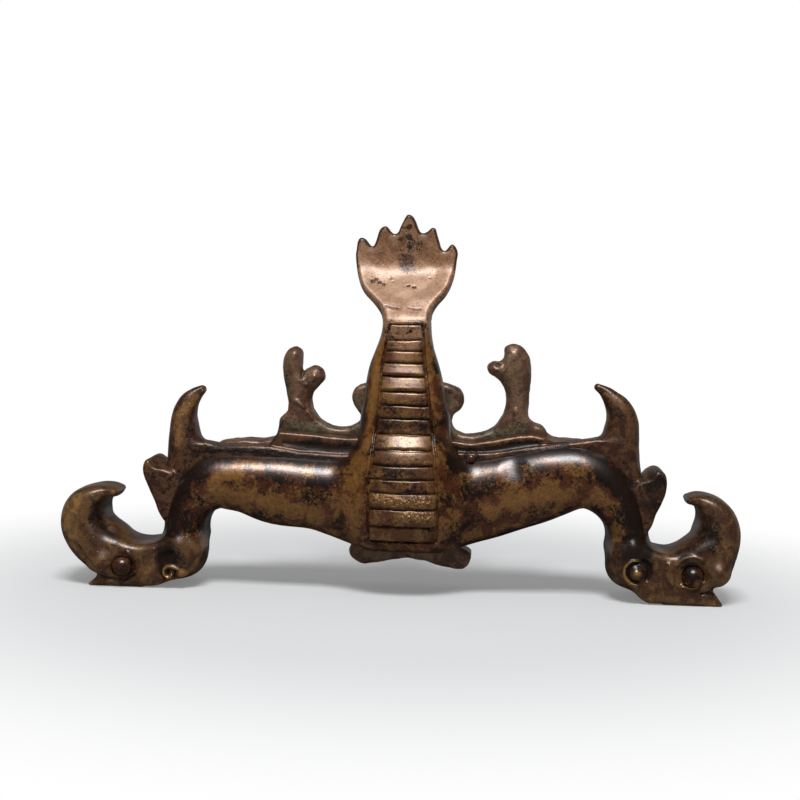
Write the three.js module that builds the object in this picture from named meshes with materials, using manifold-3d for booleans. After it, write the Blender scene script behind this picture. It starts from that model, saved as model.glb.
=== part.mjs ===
// A cast bronze brush rest: one dragon with two trunk-nosed heads, two arched necks and one shared
// fan tail.
// Brushes lie in the crooks of the snouts, between horn and peg, and in the notches beside the tail.
//
// Millimetres. X runs along the rest, Y from the front (negative) to the back, Z up. While the pieces are
// made, Y = 0 is the middle plane of heads and necks, and Z = 0 is the table. The finished rest is then
// set with the middle of its outer box over the origin.
//
// The two sides were modelled by hand and differ a little, so each has its own outlines. Outlines are
// written outward from the foot of their neck, so a longer neck carries its head, horn and ear with it.

import * as THREE from 'three';
import { mergeVertices } from 'three/addons/utils/BufferGeometryUtils.js';
import Module from 'manifold-3d';

const wasm = await Module();
wasm.setup();

// Fits
const FIT = 0.3; // clearance between two pieces that touch
const TENON_LENGTH = 5;
const NECK_TENON_RADIUS = 3.4;
const FAN_TENON_RADIUS = 2.2;

// Layers from front to back
const HEAD_DEPTH = 18;
const JAW_DEPTH = 16;
const NECK_DEPTH = 17;
const CREST_FRONT = -4.5;
const RIDGE_STEP = 1.2; // the ridge stands this far behind the ledge
const EAR_DEPTH = 13;
const BACK_PLATE_FRONT = 2;
const BACK_PLATE_DEPTH = 8;

// Body
const BELLY_BOTTOM = 10.8;
const WAIST_HEIGHT = 65; // top of the scutes, where the fan is joined on
const SHOULDER = 13; // from the body's middle to the joint with each neck
const SHOULDER_HEIGHT = 22;
const BELLY_OFFSET = 1.3; // the belly sits this far to the right of the heads' middle
const SCUTE_FOOT = 13.9; // height of the lowest scute line
const SCUTE_GROOVE = 0.45;
const GROOVE_HALF = 0.35;

// Tail fan
const FAN_LEAN = 39; // degrees that the fan's lower half leans back
const FAN_LENGTH = 29.5; // along the fan's own curve, from the waist to the tip of the middle lobe
const FAN_HALF_WIDTH = 12.6;
const FAN_ROOT_THICK = 6.4;
const FAN_THICK = 3.2;
const FAN_TIP_THIN = 0.8; // the lobes are this much thinner at their tips
const FAN_DISH = 1.0;

// Eyes and cheek curls
const EYE_RADIUS = 2.5;
const SOCKET_RADIUS = 3.2;
const LID_RADIUS = 3.9;
const LID_WIRE = 0.8;
const CURL_RADIUS = 3.0;
const CURL_WIRE = 0.75;
const BOSS_RADIUS = 1.9;

// Rivets
const RIVET_SHANK = 0.9;
const RIVET_HEAD = 2.0;
const RIVET_DOME = 0.8;
const RIVET_BEAD = 1.2;
const BLIND_COVER = 2; // metal left in front of a blind rivet in the ledge
const BELLY_RIVET_HEIGHT = 20;
const BELLY_RIVET_TIP = -5;
const STALK_RIVET_HEIGHT = 46;
const STALK_RIVET_TIP = -3;

const LEFT = {
  name: 'left',
  sign: -1,
  footX: 52.3,
  jointZ: 12.5,
  crookOut: 11.5,
  // fraction of the way from shoulder to foot, height, half width
  neck: [
    [-0.2, 21.8, 10.2], [0.03, 22.3, 10.2], [0.2, 23.5, 9.2], [0.45, 24.3, 9.0], [0.7, 25.7, 7.6],
    [0.84, 25.2, 7.1], [0.94, 21.8, 6.1], [0.99, 17.2, 5.3], [1, 12.5, 5.0], [1, 7, 5.4],
  ],
  // outward, height, half width, half depth
  snout: [
    [17.5, 7.4, 4.6, 8.8], [21.8, 11, 5.9, 8.8], [23.7, 13.8, 6.0, 8.8], [24.3, 16.4, 5.6, 8.7],
    [23.8, 18.8, 4.9, 8.4], [22.4, 20.4, 4.0, 8.0], [20.7, 21.9, 2.8, 7.2], [18.8, 22.6, 1.6, 6.2],
    [17.2, 22.9, 0.9, 5.0], [15.7, 22.7, 0.35, 4.0],
  ],
  base: [8.5, 18],
  face: [
    [20, 2.9], [22.5, 5.2], [24.6, 7.7], [25.8, 10.2], [25, 12.6], [20.5, 14], [17, 12.6], [13.6, 11],
    [10, 10.4], [6, 11], [1.5, 12.4], [-3, 12], [-5.4, 9.6], [-4.6, 7], [-2, 4.2], [2.2, 1.8], [5.5, 0.4],
  ],
  jaw: [[8.5, 0], [21.6, 0], [22.2, 0.4], [21, 1.5], [19.7, 2.7], [14, 5], [8.5, 4]],
  eye: [14.1, 5.4],
  curl: [2.7, 5.3],
  horn: [
    [-0.2, 26.5, 4.8, 5.0], [0, 30.5, 4.5, 5.0], [0.2, 34, 4.1, 5.0], [0.5, 38, 3.5, 4.8],
    [0.4, 42, 2.9, 4.3], [-0.6, 44.8, 2.4, 3.6], [-2.1, 46.5, 1.5, 2.6], [-3.7, 47.7, 0.35, 1.2],
  ],
  ear: [
    [2.2, 28], [4.4, 28.8], [5.8, 30.2], [7.5, 31.1], [9, 30.5], [9.6, 28.6], [9.2, 26.4], [8.2, 24],
    [6.7, 20.8], [5.4, 17.6], [3.4, 15.4], [1.2, 17], [0, 21], [0.6, 25],
  ],
  scoop: [5.2, 32.6],
  // distance from the middle, height: the ledge's top from the body outward, then the ridge's
  ledge: [[9, 33.2], [16, 33.2], [24, 33.5], [31, 34.6], [36, 34.7], [44, 34.5], [47, 35.2]],
  ridge: [[9, 37.2], [13, 37.1], [24, 37.9], [29.3, 38.2], [30, 37.6], [31.6, 35]],
  crestFoot: 27,
  rivet: [15.5, 33],
};

const RIGHT = {
  name: 'right',
  sign: 1,
  footX: 55.4,
  jointZ: 14.5,
  crookOut: 9.5,
  neck: [
    [-0.2, 22, 10.4], [0.02, 22.6, 10.8], [0.14, 23.5, 10.3], [0.38, 26.2, 9.7], [0.58, 28.5, 9.1],
    [0.72, 29.2, 8.3], [0.82, 28.1, 7.4], [0.905, 25, 6.4], [0.97, 20.6, 5.5], [1, 16, 4.9], [1, 8, 5.2],
  ],
  snout: [
    [15.4, 8.2, 4.6, 8.8], [18.9, 11.4, 5.9, 8.8], [20.4, 13.8, 5.9, 8.8], [21.2, 16.2, 5.4, 8.7],
    [21.1, 18.7, 5.0, 8.5], [20.5, 20.9, 4.3, 8.2], [19.3, 22.9, 3.4, 7.6], [17.8, 24.3, 2.4, 6.8],
    [16.4, 25.2, 1.4, 5.8], [15, 25.2, 0.8, 4.8], [13.5, 24.9, 0.35, 4.0],
  ],
  base: [5, 18.4],
  face: [
    [20.3, 3.7], [21.9, 5], [23.4, 6.8], [24.2, 9], [23.4, 12.6], [19.8, 15.4], [16, 14.8], [13.4, 13.2],
    [9.8, 12.2], [6, 12.8], [1.5, 14], [-2.4, 13.4], [-5, 11], [-4.2, 8.6], [-1.4, 6.4], [1, 4], [2.8, 1.4],
  ],
  jaw: [[8, 0], [21.8, 0], [22.2, 0.5], [21.1, 2], [20, 3.5], [14, 5.4], [8, 4.6]],
  eye: [14.6, 6.8],
  curl: [2.3, 7.4],
  horn: [
    [-2.8, 27.5, 5.3, 5.0], [-2.8, 33, 5.1, 5.0], [-2.6, 37, 4.6, 5.0], [-2.4, 40.5, 4.3, 4.8],
    [-2.5, 43.6, 3.8, 4.5], [-3.4, 46.2, 3.1, 4.0], [-5, 48.2, 2.2, 3.2], [-6.8, 49.9, 1.3, 2.3],
    [-8.4, 50.9, 0.35, 1.2],
  ],
  ear: [
    [0.8, 28.2], [3, 29.6], [4.3, 31], [6.2, 31.8], [7.8, 31.1], [8.4, 29.2], [8.2, 26.4], [7.3, 23.9],
    [6.1, 21.4], [5, 18], [3, 15.6], [0.8, 17], [-0.6, 21], [-0.4, 25],
  ],
  scoop: [3.6, 33.2],
  ledge: [[9, 34.6], [16, 34.7], [22.5, 34.9], [30, 36.1], [36, 36.9], [42, 37.8], [47, 38.6]],
  ridge: [[9, 37.3], [13, 37.2], [17, 36.7], [22, 37.5], [28, 38.8], [31.5, 39.1], [34.6, 38.6], [36, 36.6]],
  crestFoot: 29,
  rivet: [17.1, 33.2],
};

// distance from the middle, height
const LEFT_PLATE_EDGE = [
  [8.2, 5.6], [11.6, 7], [12.2, 9.3], [11.2, 11.5], [11.2, 20], [11.4, 28], [20, 29.5], [32, 30.5],
  [41, 29.8], [45.4, 30.6], [46.6, 32.8], [45, 34.4], [42, 35], [38.8, 35.4], [34.5, 35.3], [31, 36.4],
  [30.2, 38.6], [30, 40.7], [29.2, 41.7], [28.1, 43], [29, 49], [29.7, 53.5], [29.4, 56], [28.3, 57.8],
  [26.6, 58.5], [25.2, 57.6],
  [24.8, 55.6], [24.7, 52.6], [23.4, 53.3], [21.6, 53.9], [19.8, 53], [19.3, 51], [20.6, 48.9],
  [22.1, 47], [22.4, 45], [21.6, 42.2], [19.7, 40.2], [17, 39], [14, 38.8], [11.2, 39.9], [9.9, 41.8],
  [11.6, 44.4], [12.3, 46.6], [11.5, 48.9], [9.3, 49.9], [7.2, 51], [5.2, 54.5],
];
const RIGHT_PLATE_EDGE = [
  [13.9, 5], [16.8, 5.6], [17.7, 8.8], [15, 10.6], [13.8, 12.5], [13.8, 20], [14.2, 28.5], [20, 30],
  [32, 31.4], [41, 32.2], [45.6, 33], [47, 35.2], [45.2, 37], [41.6, 37.6], [37.4, 37.7], [35.6, 38.8],
  [34.4, 40.5], [32, 41.3], [30.8, 42.8], [30.8, 46.6], [31.1, 52], [31, 55.4], [30, 58.5], [28.3, 60.1],
  [26.3, 60.5], [24.6, 59.6],
  [24.3, 57.2], [23.3, 56.2], [21.7, 56.1], [20.4, 54.9], [20.9, 53.2], [23, 51.9], [24.6, 49.9],
  [25.2, 47.4], [24.9, 44.4], [24, 41.8], [22.2, 39.8], [19.3, 38.4], [16.3, 37.9], [13.6, 38.6],
  [12.2, 40.4], [12.5, 42.8], [14.2, 44.4], [15, 46.4], [14.2, 48.6], [12, 49.9], [8.2, 51], [5.8, 54.5],
];
const PLATE_SADDLE = [2.3, 7.4];
const PLATE_TONGUE = [0.5, 57.5];

// height, half width, front face, half width of the scute panel, middle line
const BODY_SECTIONS = [
  [10.8, 9.4, -8.6, 6.6, 1.6], [11.3, 11, -10.9, 7.2, 1.6], [12.6, 12.6, -12.4, 7.6, 1.6],
  [15, 13.6, -13.7, 8, 1.5], [18.5, 14, -14.7, 8.2, 1.5], [22, 14, -15, 8.2, 1.4],
  [26, 13.6, -14.8, 8.1, 1.3], [30, 12.9, -14.2, 7.8, 1.2], [34, 12, -13, 7.3, 1.2],
  [36.5, 11.4, -11.6, 7, 1.1], [39.1, 11, -9.9, 6.7, 1.1], [43, 10.7, -9, 6.2, 1.1],
  [47.5, 9.9, -8.4, 5.9, 0.9], [52, 9.1, -7.8, 5.5, 0.6], [56, 8.1, -7.1, 5, 0.5],
  [60, 6.6, -6.3, 4.5, 0.6], [63, 5.7, -5.5, 4.1, 0.8], [65, 5.4, -4.9, 3.8, 0.9],
];
// heights of the scutes from the lowest up, shared out over the panel
const SCUTES = [3.7, 4.3, 3.8, 3.1, 3.2, 3.5, 3.6, 3.6, 3.1, 3.3, 3.6, 3.1, 2.8, 2.6, 3.8];
// share of the way across the fan from its middle, share of the fan's length that its edge reaches there
const FAN_EDGE_SHARES = [
  [-1, 0.705], [-0.97, 0.759], [-0.92, 0.79], [-0.81, 0.763], [-0.7, 0.712], [-0.63, 0.793],
  [-0.58, 0.875], [-0.49, 0.898], [-0.38, 0.881], [-0.26, 0.841], [-0.16, 0.902], [-0.08, 0.973],
  [0.01, 1], [0.12, 0.963], [0.2, 0.902], [0.33, 0.841], [0.42, 0.878], [0.5, 0.898], [0.57, 0.868],
  [0.64, 0.78], [0.72, 0.712], [0.8, 0.746], [0.89, 0.783], [0.96, 0.759], [1, 0.705],
];
// share of the fan's length, share of its half width
const FAN_SPREAD_SHARES = [
  [0, 0.429], [0.085, 0.429], [0.146, 0.46], [0.197, 0.524], [0.247, 0.611], [0.305, 0.714],
  [0.356, 0.794], [0.424, 0.865], [0.492, 0.913], [0.576, 0.96], [0.678, 0.992], [0.746, 1],
];
// share of the fan's length, share of its full lean
const FAN_LEAN_SHARES = [
  [0, 0.256], [0.085, 0.923], [0.271, 1], [0.492, 0.949], [0.61, 0.41], [0.712, 0], [1, -0.308],
];

/** Smooth value at one place of a table of [place, value] rows. */
function through(table, at, column = 1) {
  const last = table.length - 1;
  let i = 0;
  while (i < last - 1 && at > table[i + 1][0]) i += 1;
  const slope = (k) => {
    const a = table[Math.max(k - 1, 0)];
    const b = table[Math.min(k + 1, last)];
    return (b[column] - a[column]) / (b[0] - a[0]);
  };
  const [a, b] = [table[i], table[i + 1]];
  const width = b[0] - a[0];
  const t = THREE.MathUtils.clamp((at - a[0]) / width, 0, 1);
  const t2 = t * t;
  const t3 = t2 * t;
  return (2 * t3 - 3 * t2 + 1) * a[column] + (t3 - 2 * t2 + t) * width * slope(i)
    + (3 * t2 - 2 * t3) * b[column] + (t3 - t2) * width * slope(i + 1);
}

/** Power that keeps the sign, for rounded-square sections. */
const signedPower = (value, power) => Math.sign(value) * Math.abs(value) ** power;

/** The six-fold signed volume of a closed indexed mesh, which tells whether its faces point out. */
function signedVolume(points, index) {
  let sum = 0;
  for (let i = 0; i < index.length; i += 3) {
    const [a, b, c] = [points[index[i]], points[index[i + 1]], points[index[i + 2]]];
    sum += a.clone().cross(b).dot(c);
  }
  return sum;
}

/** An indexed geometry from points and triangles, turned so that its faces point out. */
function closedGeometry(points, index) {
  if (signedVolume(points, index) < 0) index.reverse();
  const geometry = new THREE.BufferGeometry();
  const places = points.flatMap((point) => point.toArray());
  geometry.setAttribute('position', new THREE.Float32BufferAttribute(places, 3));
  geometry.setIndex(index);
  return geometry;
}

/** A closed geometry as a solid that can be joined and cut. */
function toSolid(geometry) {
  const bare = geometry.clone();
  bare.deleteAttribute('normal');
  bare.deleteAttribute('uv');
  const merged = mergeVertices(bare, 1e-4);
  return new wasm.Manifold(new wasm.Mesh({
    numProp: 3,
    vertProperties: new Float32Array(merged.attributes.position.array),
    triVerts: new Uint32Array(merged.index.array),
  }));
}

/** A solid as a geometry with flat faces. */
function toGeometry(solid) {
  const mesh = solid.getMesh();
  const geometry = new THREE.BufferGeometry();
  geometry.setAttribute('position', new THREE.BufferAttribute(new Float32Array(mesh.vertProperties), 3));
  geometry.setIndex(new THREE.BufferAttribute(new Uint32Array(mesh.triVerts), 1));
  const flat = geometry.toNonIndexed();
  flat.computeVertexNormals();
  return flat;
}

/** A skin over equal rings of points, closed by a fan of triangles at each end. */
function loft(rings) {
  const sides = rings[0].length;
  const points = rings.flat();
  const index = [];
  for (let r = 0; r + 1 < rings.length; r += 1) {
    for (let s = 0; s < sides; s += 1) {
      const a = r * sides + s;
      const b = r * sides + ((s + 1) % sides);
      index.push(a, b, a + sides, b, b + sides, a + sides);
    }
  }
  for (const [ring, start, turn] of [[rings[0], 0, 1], [rings.at(-1), points.length - sides, -1]]) {
    const middle = points.length;
    points.push(ring.reduce((sum, p) => sum.add(p), new THREE.Vector3()).divideScalar(sides));
    for (let s = 0; s < sides; s += 1) {
      const pair = [start + s, start + ((s + 1) % sides)];
      index.push(middle, ...(turn > 0 ? pair.reverse() : pair));
    }
  }
  return closedGeometry(points, index);
}

/** A limb swept through stations of [x, z, half width, half depth], with a rounded-square section. */
function limb(stations, { steps, sides = 18, grow = 0, power = 2.3 }) {
  const curve = (rows) => new THREE.CatmullRomCurve3(rows.map((row) => new THREE.Vector3(...row)));
  const path = curve(stations.map(([x, z]) => [x, 0, z]));
  const sizes = curve(stations.map(([, , wide, deep]) => [wide, deep, 0]));
  const rings = [];
  for (let i = 0; i <= steps; i += 1) {
    const at = path.getPoint(i / steps);
    const along = path.getTangent(i / steps);
    const across = new THREE.Vector3(-along.z, 0, along.x);
    const size = sizes.getPoint(i / steps);
    rings.push(Array.from({ length: sides }, (_, s) => {
      const turn = (2 * Math.PI * s) / sides;
      const wide = (size.x + grow) * signedPower(Math.cos(turn), 2 / power);
      const deep = (size.y + grow) * signedPower(Math.sin(turn), 2 / power);
      return at.clone().addScaledVector(across, wide).setY(deep);
    }));
  }
  return toSolid(loft(rings));
}

/** An outline set in by a distance, along the middle direction of each corner. */
function inset(outline, distance) {
  const count = outline.length;
  return outline.map((corner, i) => {
    const before = corner.clone().sub(outline[(i + count - 1) % count]).normalize();
    const after = outline[(i + 1) % count].clone().sub(corner).normalize();
    const inward = new THREE.Vector2(-before.y - after.y, before.x + after.x).normalize();
    const slant = Math.max(inward.dot(new THREE.Vector2(-before.y, before.x)), 0.5);
    return corner.clone().addScaledVector(inward, distance / slant);
  });
}

/** A plate that stands in the XZ plane from front to rear, with rounded edges. */
function plate(points, front, rear, round, segments = 2) {
  const outline = THREE.ShapeUtils.isClockWise(points) ? [...points].reverse() : points;
  const rings = [];
  for (let i = 0; i <= 2 * segments + 1; i += 1) {
    const turn = ((i <= segments ? i : 2 * segments + 1 - i) / segments) * (Math.PI / 2);
    const edge = inset(outline, round * (1 - Math.sin(turn)));
    const inward = round * (1 - Math.cos(turn));
    const depth = i <= segments ? front + inward : rear - inward;
    rings.push(edge.map((p) => new THREE.Vector3(p.x, depth, p.y)));
  }
  const count = outline.length;
  const index = [];
  for (let r = 0; r + 1 < rings.length; r += 1) {
    for (let i = 0; i < count; i += 1) {
      const a = r * count + i;
      const b = r * count + ((i + 1) % count);
      index.push(a, b, a + count, b, b + count, a + count);
    }
  }
  const top = (rings.length - 1) * count;
  for (const [a, b, c] of THREE.ShapeUtils.triangulateShape(outline, [])) {
    index.push(b, a, c, top + a, top + b, top + c);
  }
  return toSolid(closedGeometry(rings.flat(), index));
}

/** A straight-sided outline through [x, z] points. */
const polygon = (points) => points.map(([x, z]) => new THREE.Vector2(x, z));

/** A smooth closed outline through [x, z] points. */
function smoothOutline(points, divisions) {
  const curve = new THREE.CatmullRomCurve3(points.map(([x, z]) => new THREE.Vector3(x, z, 0)), true);
  return curve.getPoints(points.length * divisions).slice(1).map((p) => new THREE.Vector2(p.x, p.y));
}

/** A block between two corners. */
function block([x0, y0, z0], [x1, y1, z1]) {
  const geometry = new THREE.BoxGeometry(Math.abs(x1 - x0), y1 - y0, z1 - z0);
  return toSolid(geometry.translate((x0 + x1) / 2, (y0 + y1) / 2, (z0 + z1) / 2));
}

/** A round bar or hole of one radius between two points. */
function bar(radius, from, to, sides = 16) {
  const along = new THREE.Vector3().subVectors(to, from);
  const geometry = new THREE.CylinderGeometry(radius, radius, along.length(), sides);
  const middle = from.clone().add(to).divideScalar(2);
  const upright = new THREE.Vector3(0, 1, 0);
  const turn = new THREE.Quaternion().setFromUnitVectors(upright, along.normalize());
  return toSolid(geometry.applyQuaternion(turn).translate(...middle.toArray()));
}

/** A ball. */
const ball = (radius, x, y, z) => toSolid(new THREE.SphereGeometry(radius, 14, 8).translate(x, y, z));

/** A ring of round wire that faces front and back. */
const wireRing = (radius, wire, x, y, z) => toSolid(
  new THREE.TorusGeometry(radius, wire, 6, 16).rotateX(Math.PI / 2).translate(x, y, z),
);

/** Points given outward from the foot of a side's neck, as x and z of the whole rest. */
const fromFoot = (side, points) => points.map(
  ([out, ...rest]) => [side.sign * (side.footX + out), ...rest],
);

/** Points given as distance from the middle, as x and z of the whole rest. */
const fromMiddle = (side, points) => points.map(([out, ...rest]) => [side.sign * out, ...rest]);

/** The x of the joint between body and neck. */
const shoulderX = (side) => side.sign * SHOULDER + BELLY_OFFSET;

/** The body's middle line at a height. */
const bodyMiddle = (z) => through(BODY_SECTIONS, z, 4);

const BODY_MIDDLE_Y = -1;
const BODY_REAR = BACK_PLATE_FRONT - FIT;
const BODY_POWER = 2.5;

/** One level ring of the body: scute panel in front, rounded sides and a flat back. */
function bodyRing(z, groove, grow) {
  const middle = bodyMiddle(z);
  const half = through(BODY_SECTIONS, z, 1) + grow;
  const deep = BODY_MIDDLE_Y - through(BODY_SECTIONS, z, 2) + grow;
  const panel = through(BODY_SECTIONS, z, 3);
  const front = (x) => BODY_MIDDLE_Y - deep * (1 - Math.abs(x / half) ** BODY_POWER) ** (1 / BODY_POWER);
  const inPanel = z >= SCUTE_FOOT && z <= WAIST_HEIGHT;
  const rim = inPanel ? SCUTE_GROOVE : 0;
  const columns = [
    [0, groove], [0.45 * panel, groove], [panel - 0.5, groove], [panel, rim], [panel + 0.5, 0],
  ];
  const right = columns.map(([x, cut]) => [x, front(x) + cut]);
  const start = Math.asin(((panel + 0.5) / half) ** (BODY_POWER / 2));
  for (let i = 1; i <= 5; i += 1) {
    const turn = THREE.MathUtils.lerp(start, Math.PI / 2, i / 5);
    right.push([
      half * Math.sin(turn) ** (2 / BODY_POWER),
      BODY_MIDDLE_Y - deep * Math.cos(turn) ** (2 / BODY_POWER),
    ]);
  }
  right.push([half - 0.5, BODY_REAR + grow - 0.5], [half - 1.6, BODY_REAR + grow]);
  const left = right.slice(1).reverse().map(([x, y]) => [-x, y]);
  return [...right, ...left].map(([x, y]) => new THREE.Vector3(middle + x, y, z));
}

/** Heights of the engraved lines from the lowest up to the waist. */
function scuteLines() {
  const whole = SCUTES.reduce((sum, height) => sum + height, 0);
  const lines = [SCUTE_FOOT];
  for (const height of SCUTES) lines.push(lines.at(-1) + (height * (WAIST_HEIGHT - SCUTE_FOOT)) / whole);
  return lines.slice(0, -1);
}

/** Belly and stalk in one, from the bottom up to the waist. */
function bodyCore(grow = 0) {
  const levels = [BELLY_BOTTOM, 11.3, 12.4].map((z) => [z, 0]);
  for (const z of scuteLines()) {
    levels.push([z - GROOVE_HALF, 0], [z, SCUTE_GROOVE], [z + GROOVE_HALF, 0]);
  }
  levels.push([WAIST_HEIGHT - GROOVE_HALF, 0], [WAIST_HEIGHT, 0]);
  return toSolid(loft(levels.map(([z, groove]) => bodyRing(z, grow > 0 ? 0 : groove, grow))));
}

/** The neck's tube from inside the body to inside the head. */
function neckTube(side, grow = 0) {
  const root = Math.abs(shoulderX(side));
  const stations = side.neck.map(([share, z, half]) => (
    [side.sign * (root + share * (side.footX - root)), z, half, NECK_DEPTH / 2]
  ));
  return limb(stations, { steps: 24, sides: 20, grow, power: 2.1 });
}

/** Everything on one side of a joint, as a block that reaches past the rest. */
const FAR = 200;
const beyondX = (x, sign) => block([x, -FAR, -FAR], [x + sign * FAR, FAR, FAR]);

/** The neck's tenon in the body, or its mortise. */
function rootTenon(side, grow = 0) {
  const x = shoulderX(side);
  const from = new THREE.Vector3(x + side.sign, BODY_MIDDLE_Y - NECK_TENON_RADIUS, SHOULDER_HEIGHT);
  const to = from.clone().setX(x - side.sign * (TENON_LENGTH + grow));
  return bar(NECK_TENON_RADIUS + grow, from, to);
}

/** The neck's tenon in the head, or its mortise. */
function footTenon(side, grow = 0) {
  const from = new THREE.Vector3(side.sign * side.footX, 0, side.jointZ + 1);
  const to = from.clone().setZ(side.jointZ - TENON_LENGTH - grow);
  return bar(NECK_TENON_RADIUS + grow, from, to);
}

/** The fan's tenon in the waist, or its mortise. */
function fanTenon(grow = 0) {
  const from = new THREE.Vector3(bodyMiddle(WAIST_HEIGHT), -1.7, WAIST_HEIGHT + 1);
  return bar(FAN_TENON_RADIUS + grow, from, from.clone().setZ(WAIST_HEIGHT - TENON_LENGTH - grow));
}

/** The space that belongs to a head: below its joint, or outward of its crook. */
function headRoom(side, gap) {
  const [[inside]] = fromFoot(side, [[-12, 0]]);
  const foot = block([inside, -FAR, -FAR], [side.sign * FAR, FAR, side.jointZ - gap]);
  return foot.add(beyondX(side.sign * (side.footX + side.crookOut - gap), side.sign));
}

/** The holes that the rivets of the whole rest pass through, as bars of the rivets' own places. */
const REAR = BACK_PLATE_FRONT + BACK_PLATE_DEPTH;
const RIVETS = [
  { name: 'left_rivet', x: -LEFT.rivet[0], z: LEFT.rivet[1], tip: CREST_FRONT + BLIND_COVER, bead: false },
  { name: 'right_rivet', x: RIGHT.rivet[0], z: RIGHT.rivet[1], tip: CREST_FRONT - FIT, bead: true },
  { name: 'belly_rivet', x: BELLY_OFFSET, z: BELLY_RIVET_HEIGHT, tip: BELLY_RIVET_TIP, bead: false },
  {
    name: 'stalk_rivet',
    x: bodyMiddle(STALK_RIVET_HEIGHT),
    z: STALK_RIVET_HEIGHT,
    tip: STALK_RIVET_TIP,
    bead: false,
  },
];
const rivetHole = ({ x, z, tip, bead }) => bar(
  RIVET_SHANK + FIT,
  new THREE.Vector3(x, bead ? CREST_FRONT - 1 : tip - FIT, z),
  new THREE.Vector3(x, REAR + 1, z),
  12,
);
const rivetHoles = RIVETS.map(rivetHole).reduce((all, hole) => all.add(hole));

/** Belly, stalk and the neck roots that run into them, between the two shoulders. */
function makeBody() {
  const roots = [LEFT, RIGHT].map((side) => neckTube(side).intersect(
    block([-FAR, -FAR, -FAR], [FAR, BODY_REAR, FAR]),
  ));
  let body = bodyCore().add(roots[0]).add(roots[1]);
  for (const side of [LEFT, RIGHT]) {
    body = body
      .subtract(beyondX(shoulderX(side) - (side.sign * FIT) / 2, side.sign))
      .subtract(rootTenon(side, FIT));
  }
  return body.subtract(fanTenon(FIT)).subtract(rivetHoles);
}

/** One neck, with a tenon at each end. */
function makeNeck(side) {
  const flank = bodyCore().intersect(block([-FAR, -FAR, -FAR], [FAR, BODY_REAR, FAR]));
  return neckTube(side)
    .add(flank)
    .intersect(beyondX(shoulderX(side) + (side.sign * FIT) / 2, side.sign))
    .subtract(headRoom(side, 0))
    .add(rootTenon(side))
    .add(footTenon(side))
    .subtract(rivetHoles);
}

/** One face of a head as a solid: brow, cheek and the foot that stands on the table. */
function facePlate(side) {
  const [inner, outer] = fromFoot(side, side.base.map((out) => [out, 0])).map(([x]) => x);
  const shape = new THREE.Shape();
  shape.moveTo(inner, 0);
  shape.lineTo(outer, 0);
  shape.splineThru(fromFoot(side, side.face).map(([x, z]) => new THREE.Vector2(x, z)));
  return plate(shape.getPoints(2), -HEAD_DEPTH / 2, HEAD_DEPTH / 2, 2, 2);
}

/** One head: face, snout, jaw, eyelids and cheek curls, with its sockets and mortise cut. */
function makeHead(side) {
  const jaw = plate(polygon(fromFoot(side, side.jaw)), -JAW_DEPTH / 2, JAW_DEPTH / 2, 0.5, 1);
  const snout = limb(fromFoot(side, side.snout), { steps: 14, sides: 18, power: 3.2 });
  let head = facePlate(side).add(jaw).add(snout).add(neckTube(side));
  const [[eyeX, eyeZ]] = fromFoot(side, [side.eye]);
  const [[curlX, curlZ]] = fromFoot(side, [side.curl]);
  for (const turn of [-1, 1]) {
    const face = (turn * HEAD_DEPTH) / 2;
    head = head
      .add(wireRing(LID_RADIUS, LID_WIRE, eyeX, face - turn * 0.3, eyeZ))
      .subtract(ball(SOCKET_RADIUS, eyeX, face - turn * 0.5, eyeZ))
      .subtract(wireRing(CURL_RADIUS, CURL_WIRE, curlX, face, curlZ))
      .add(ball(BOSS_RADIUS, curlX, face - turn * 0.9, curlZ));
  }
  return head
    .intersect(headRoom(side, FIT))
    .intersect(block([-FAR, -FAR, 0], [FAR, FAR, FAR]))
    .subtract(footTenon(side, FIT));
}

/** The bead eye at the bottom of its socket. */
function makeEye(side, turn) {
  const [[x, z]] = fromFoot(side, [side.eye]);
  const floor = HEAD_DEPTH / 2 - 0.5 - SOCKET_RADIUS;
  return ball(EYE_RADIUS, x, turn * (floor + FIT + EYE_RADIUS), z);
}

/** Crest of one neck: ledge, stepped ridge, horn and leaf-shaped ear, cut to sit on the tube. */
function makeCrest(side) {
  const step = (points, front) => {
    const foot = [[points.at(-1)[0], side.crestFoot], [points[0][0], side.crestFoot]];
    return plate(polygon(fromMiddle(side, [...foot, ...points])), front, BODY_REAR, 0.5, 1);
  };
  const hornRoot = [[side.footX - 2, side.ledge.at(-1)[1] - 0.6], [side.footX + 1.5, side.crestFoot + 2]];
  const ledge = step([...side.ledge, ...hornRoot], CREST_FRONT);
  const ridge = step(side.ridge, CREST_FRONT + RIDGE_STEP);
  const horn = limb(fromFoot(side, side.horn), { steps: 14, sides: 16, power: 2.5 });
  const ear = plate(smoothOutline(fromFoot(side, side.ear), 2), -EAR_DEPTH / 2, EAR_DEPTH / 2, 1.2, 2);
  const [[scoopX, scoopZ]] = fromFoot(side, [side.scoop]);
  return ledge
    .add(ridge)
    .add(horn)
    .add(ear.subtract(ball(4.6, scoopX, -EAR_DEPTH / 2 - 0.5, scoopZ)))
    .subtract(neckTube(side, FIT))
    .subtract(bodyCore(FIT))
    .subtract(rivetHoles);
}

/** Rough plate behind the dragon: pegs, notches, side lobes and the arms along the necks. */
function makeBackPlate() {
  const right = fromMiddle(RIGHT, RIGHT_PLATE_EDGE);
  const left = fromMiddle(LEFT, LEFT_PLATE_EDGE).reverse();
  const shape = smoothOutline([PLATE_SADDLE, ...right, PLATE_TONGUE, ...left], 2);
  return plate(shape, BACK_PLATE_FRONT, REAR, 1, 2)
    .subtract(neckTube(LEFT, FIT))
    .subtract(neckTube(RIGHT, FIT))
    .subtract(rivetHoles);
}

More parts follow.
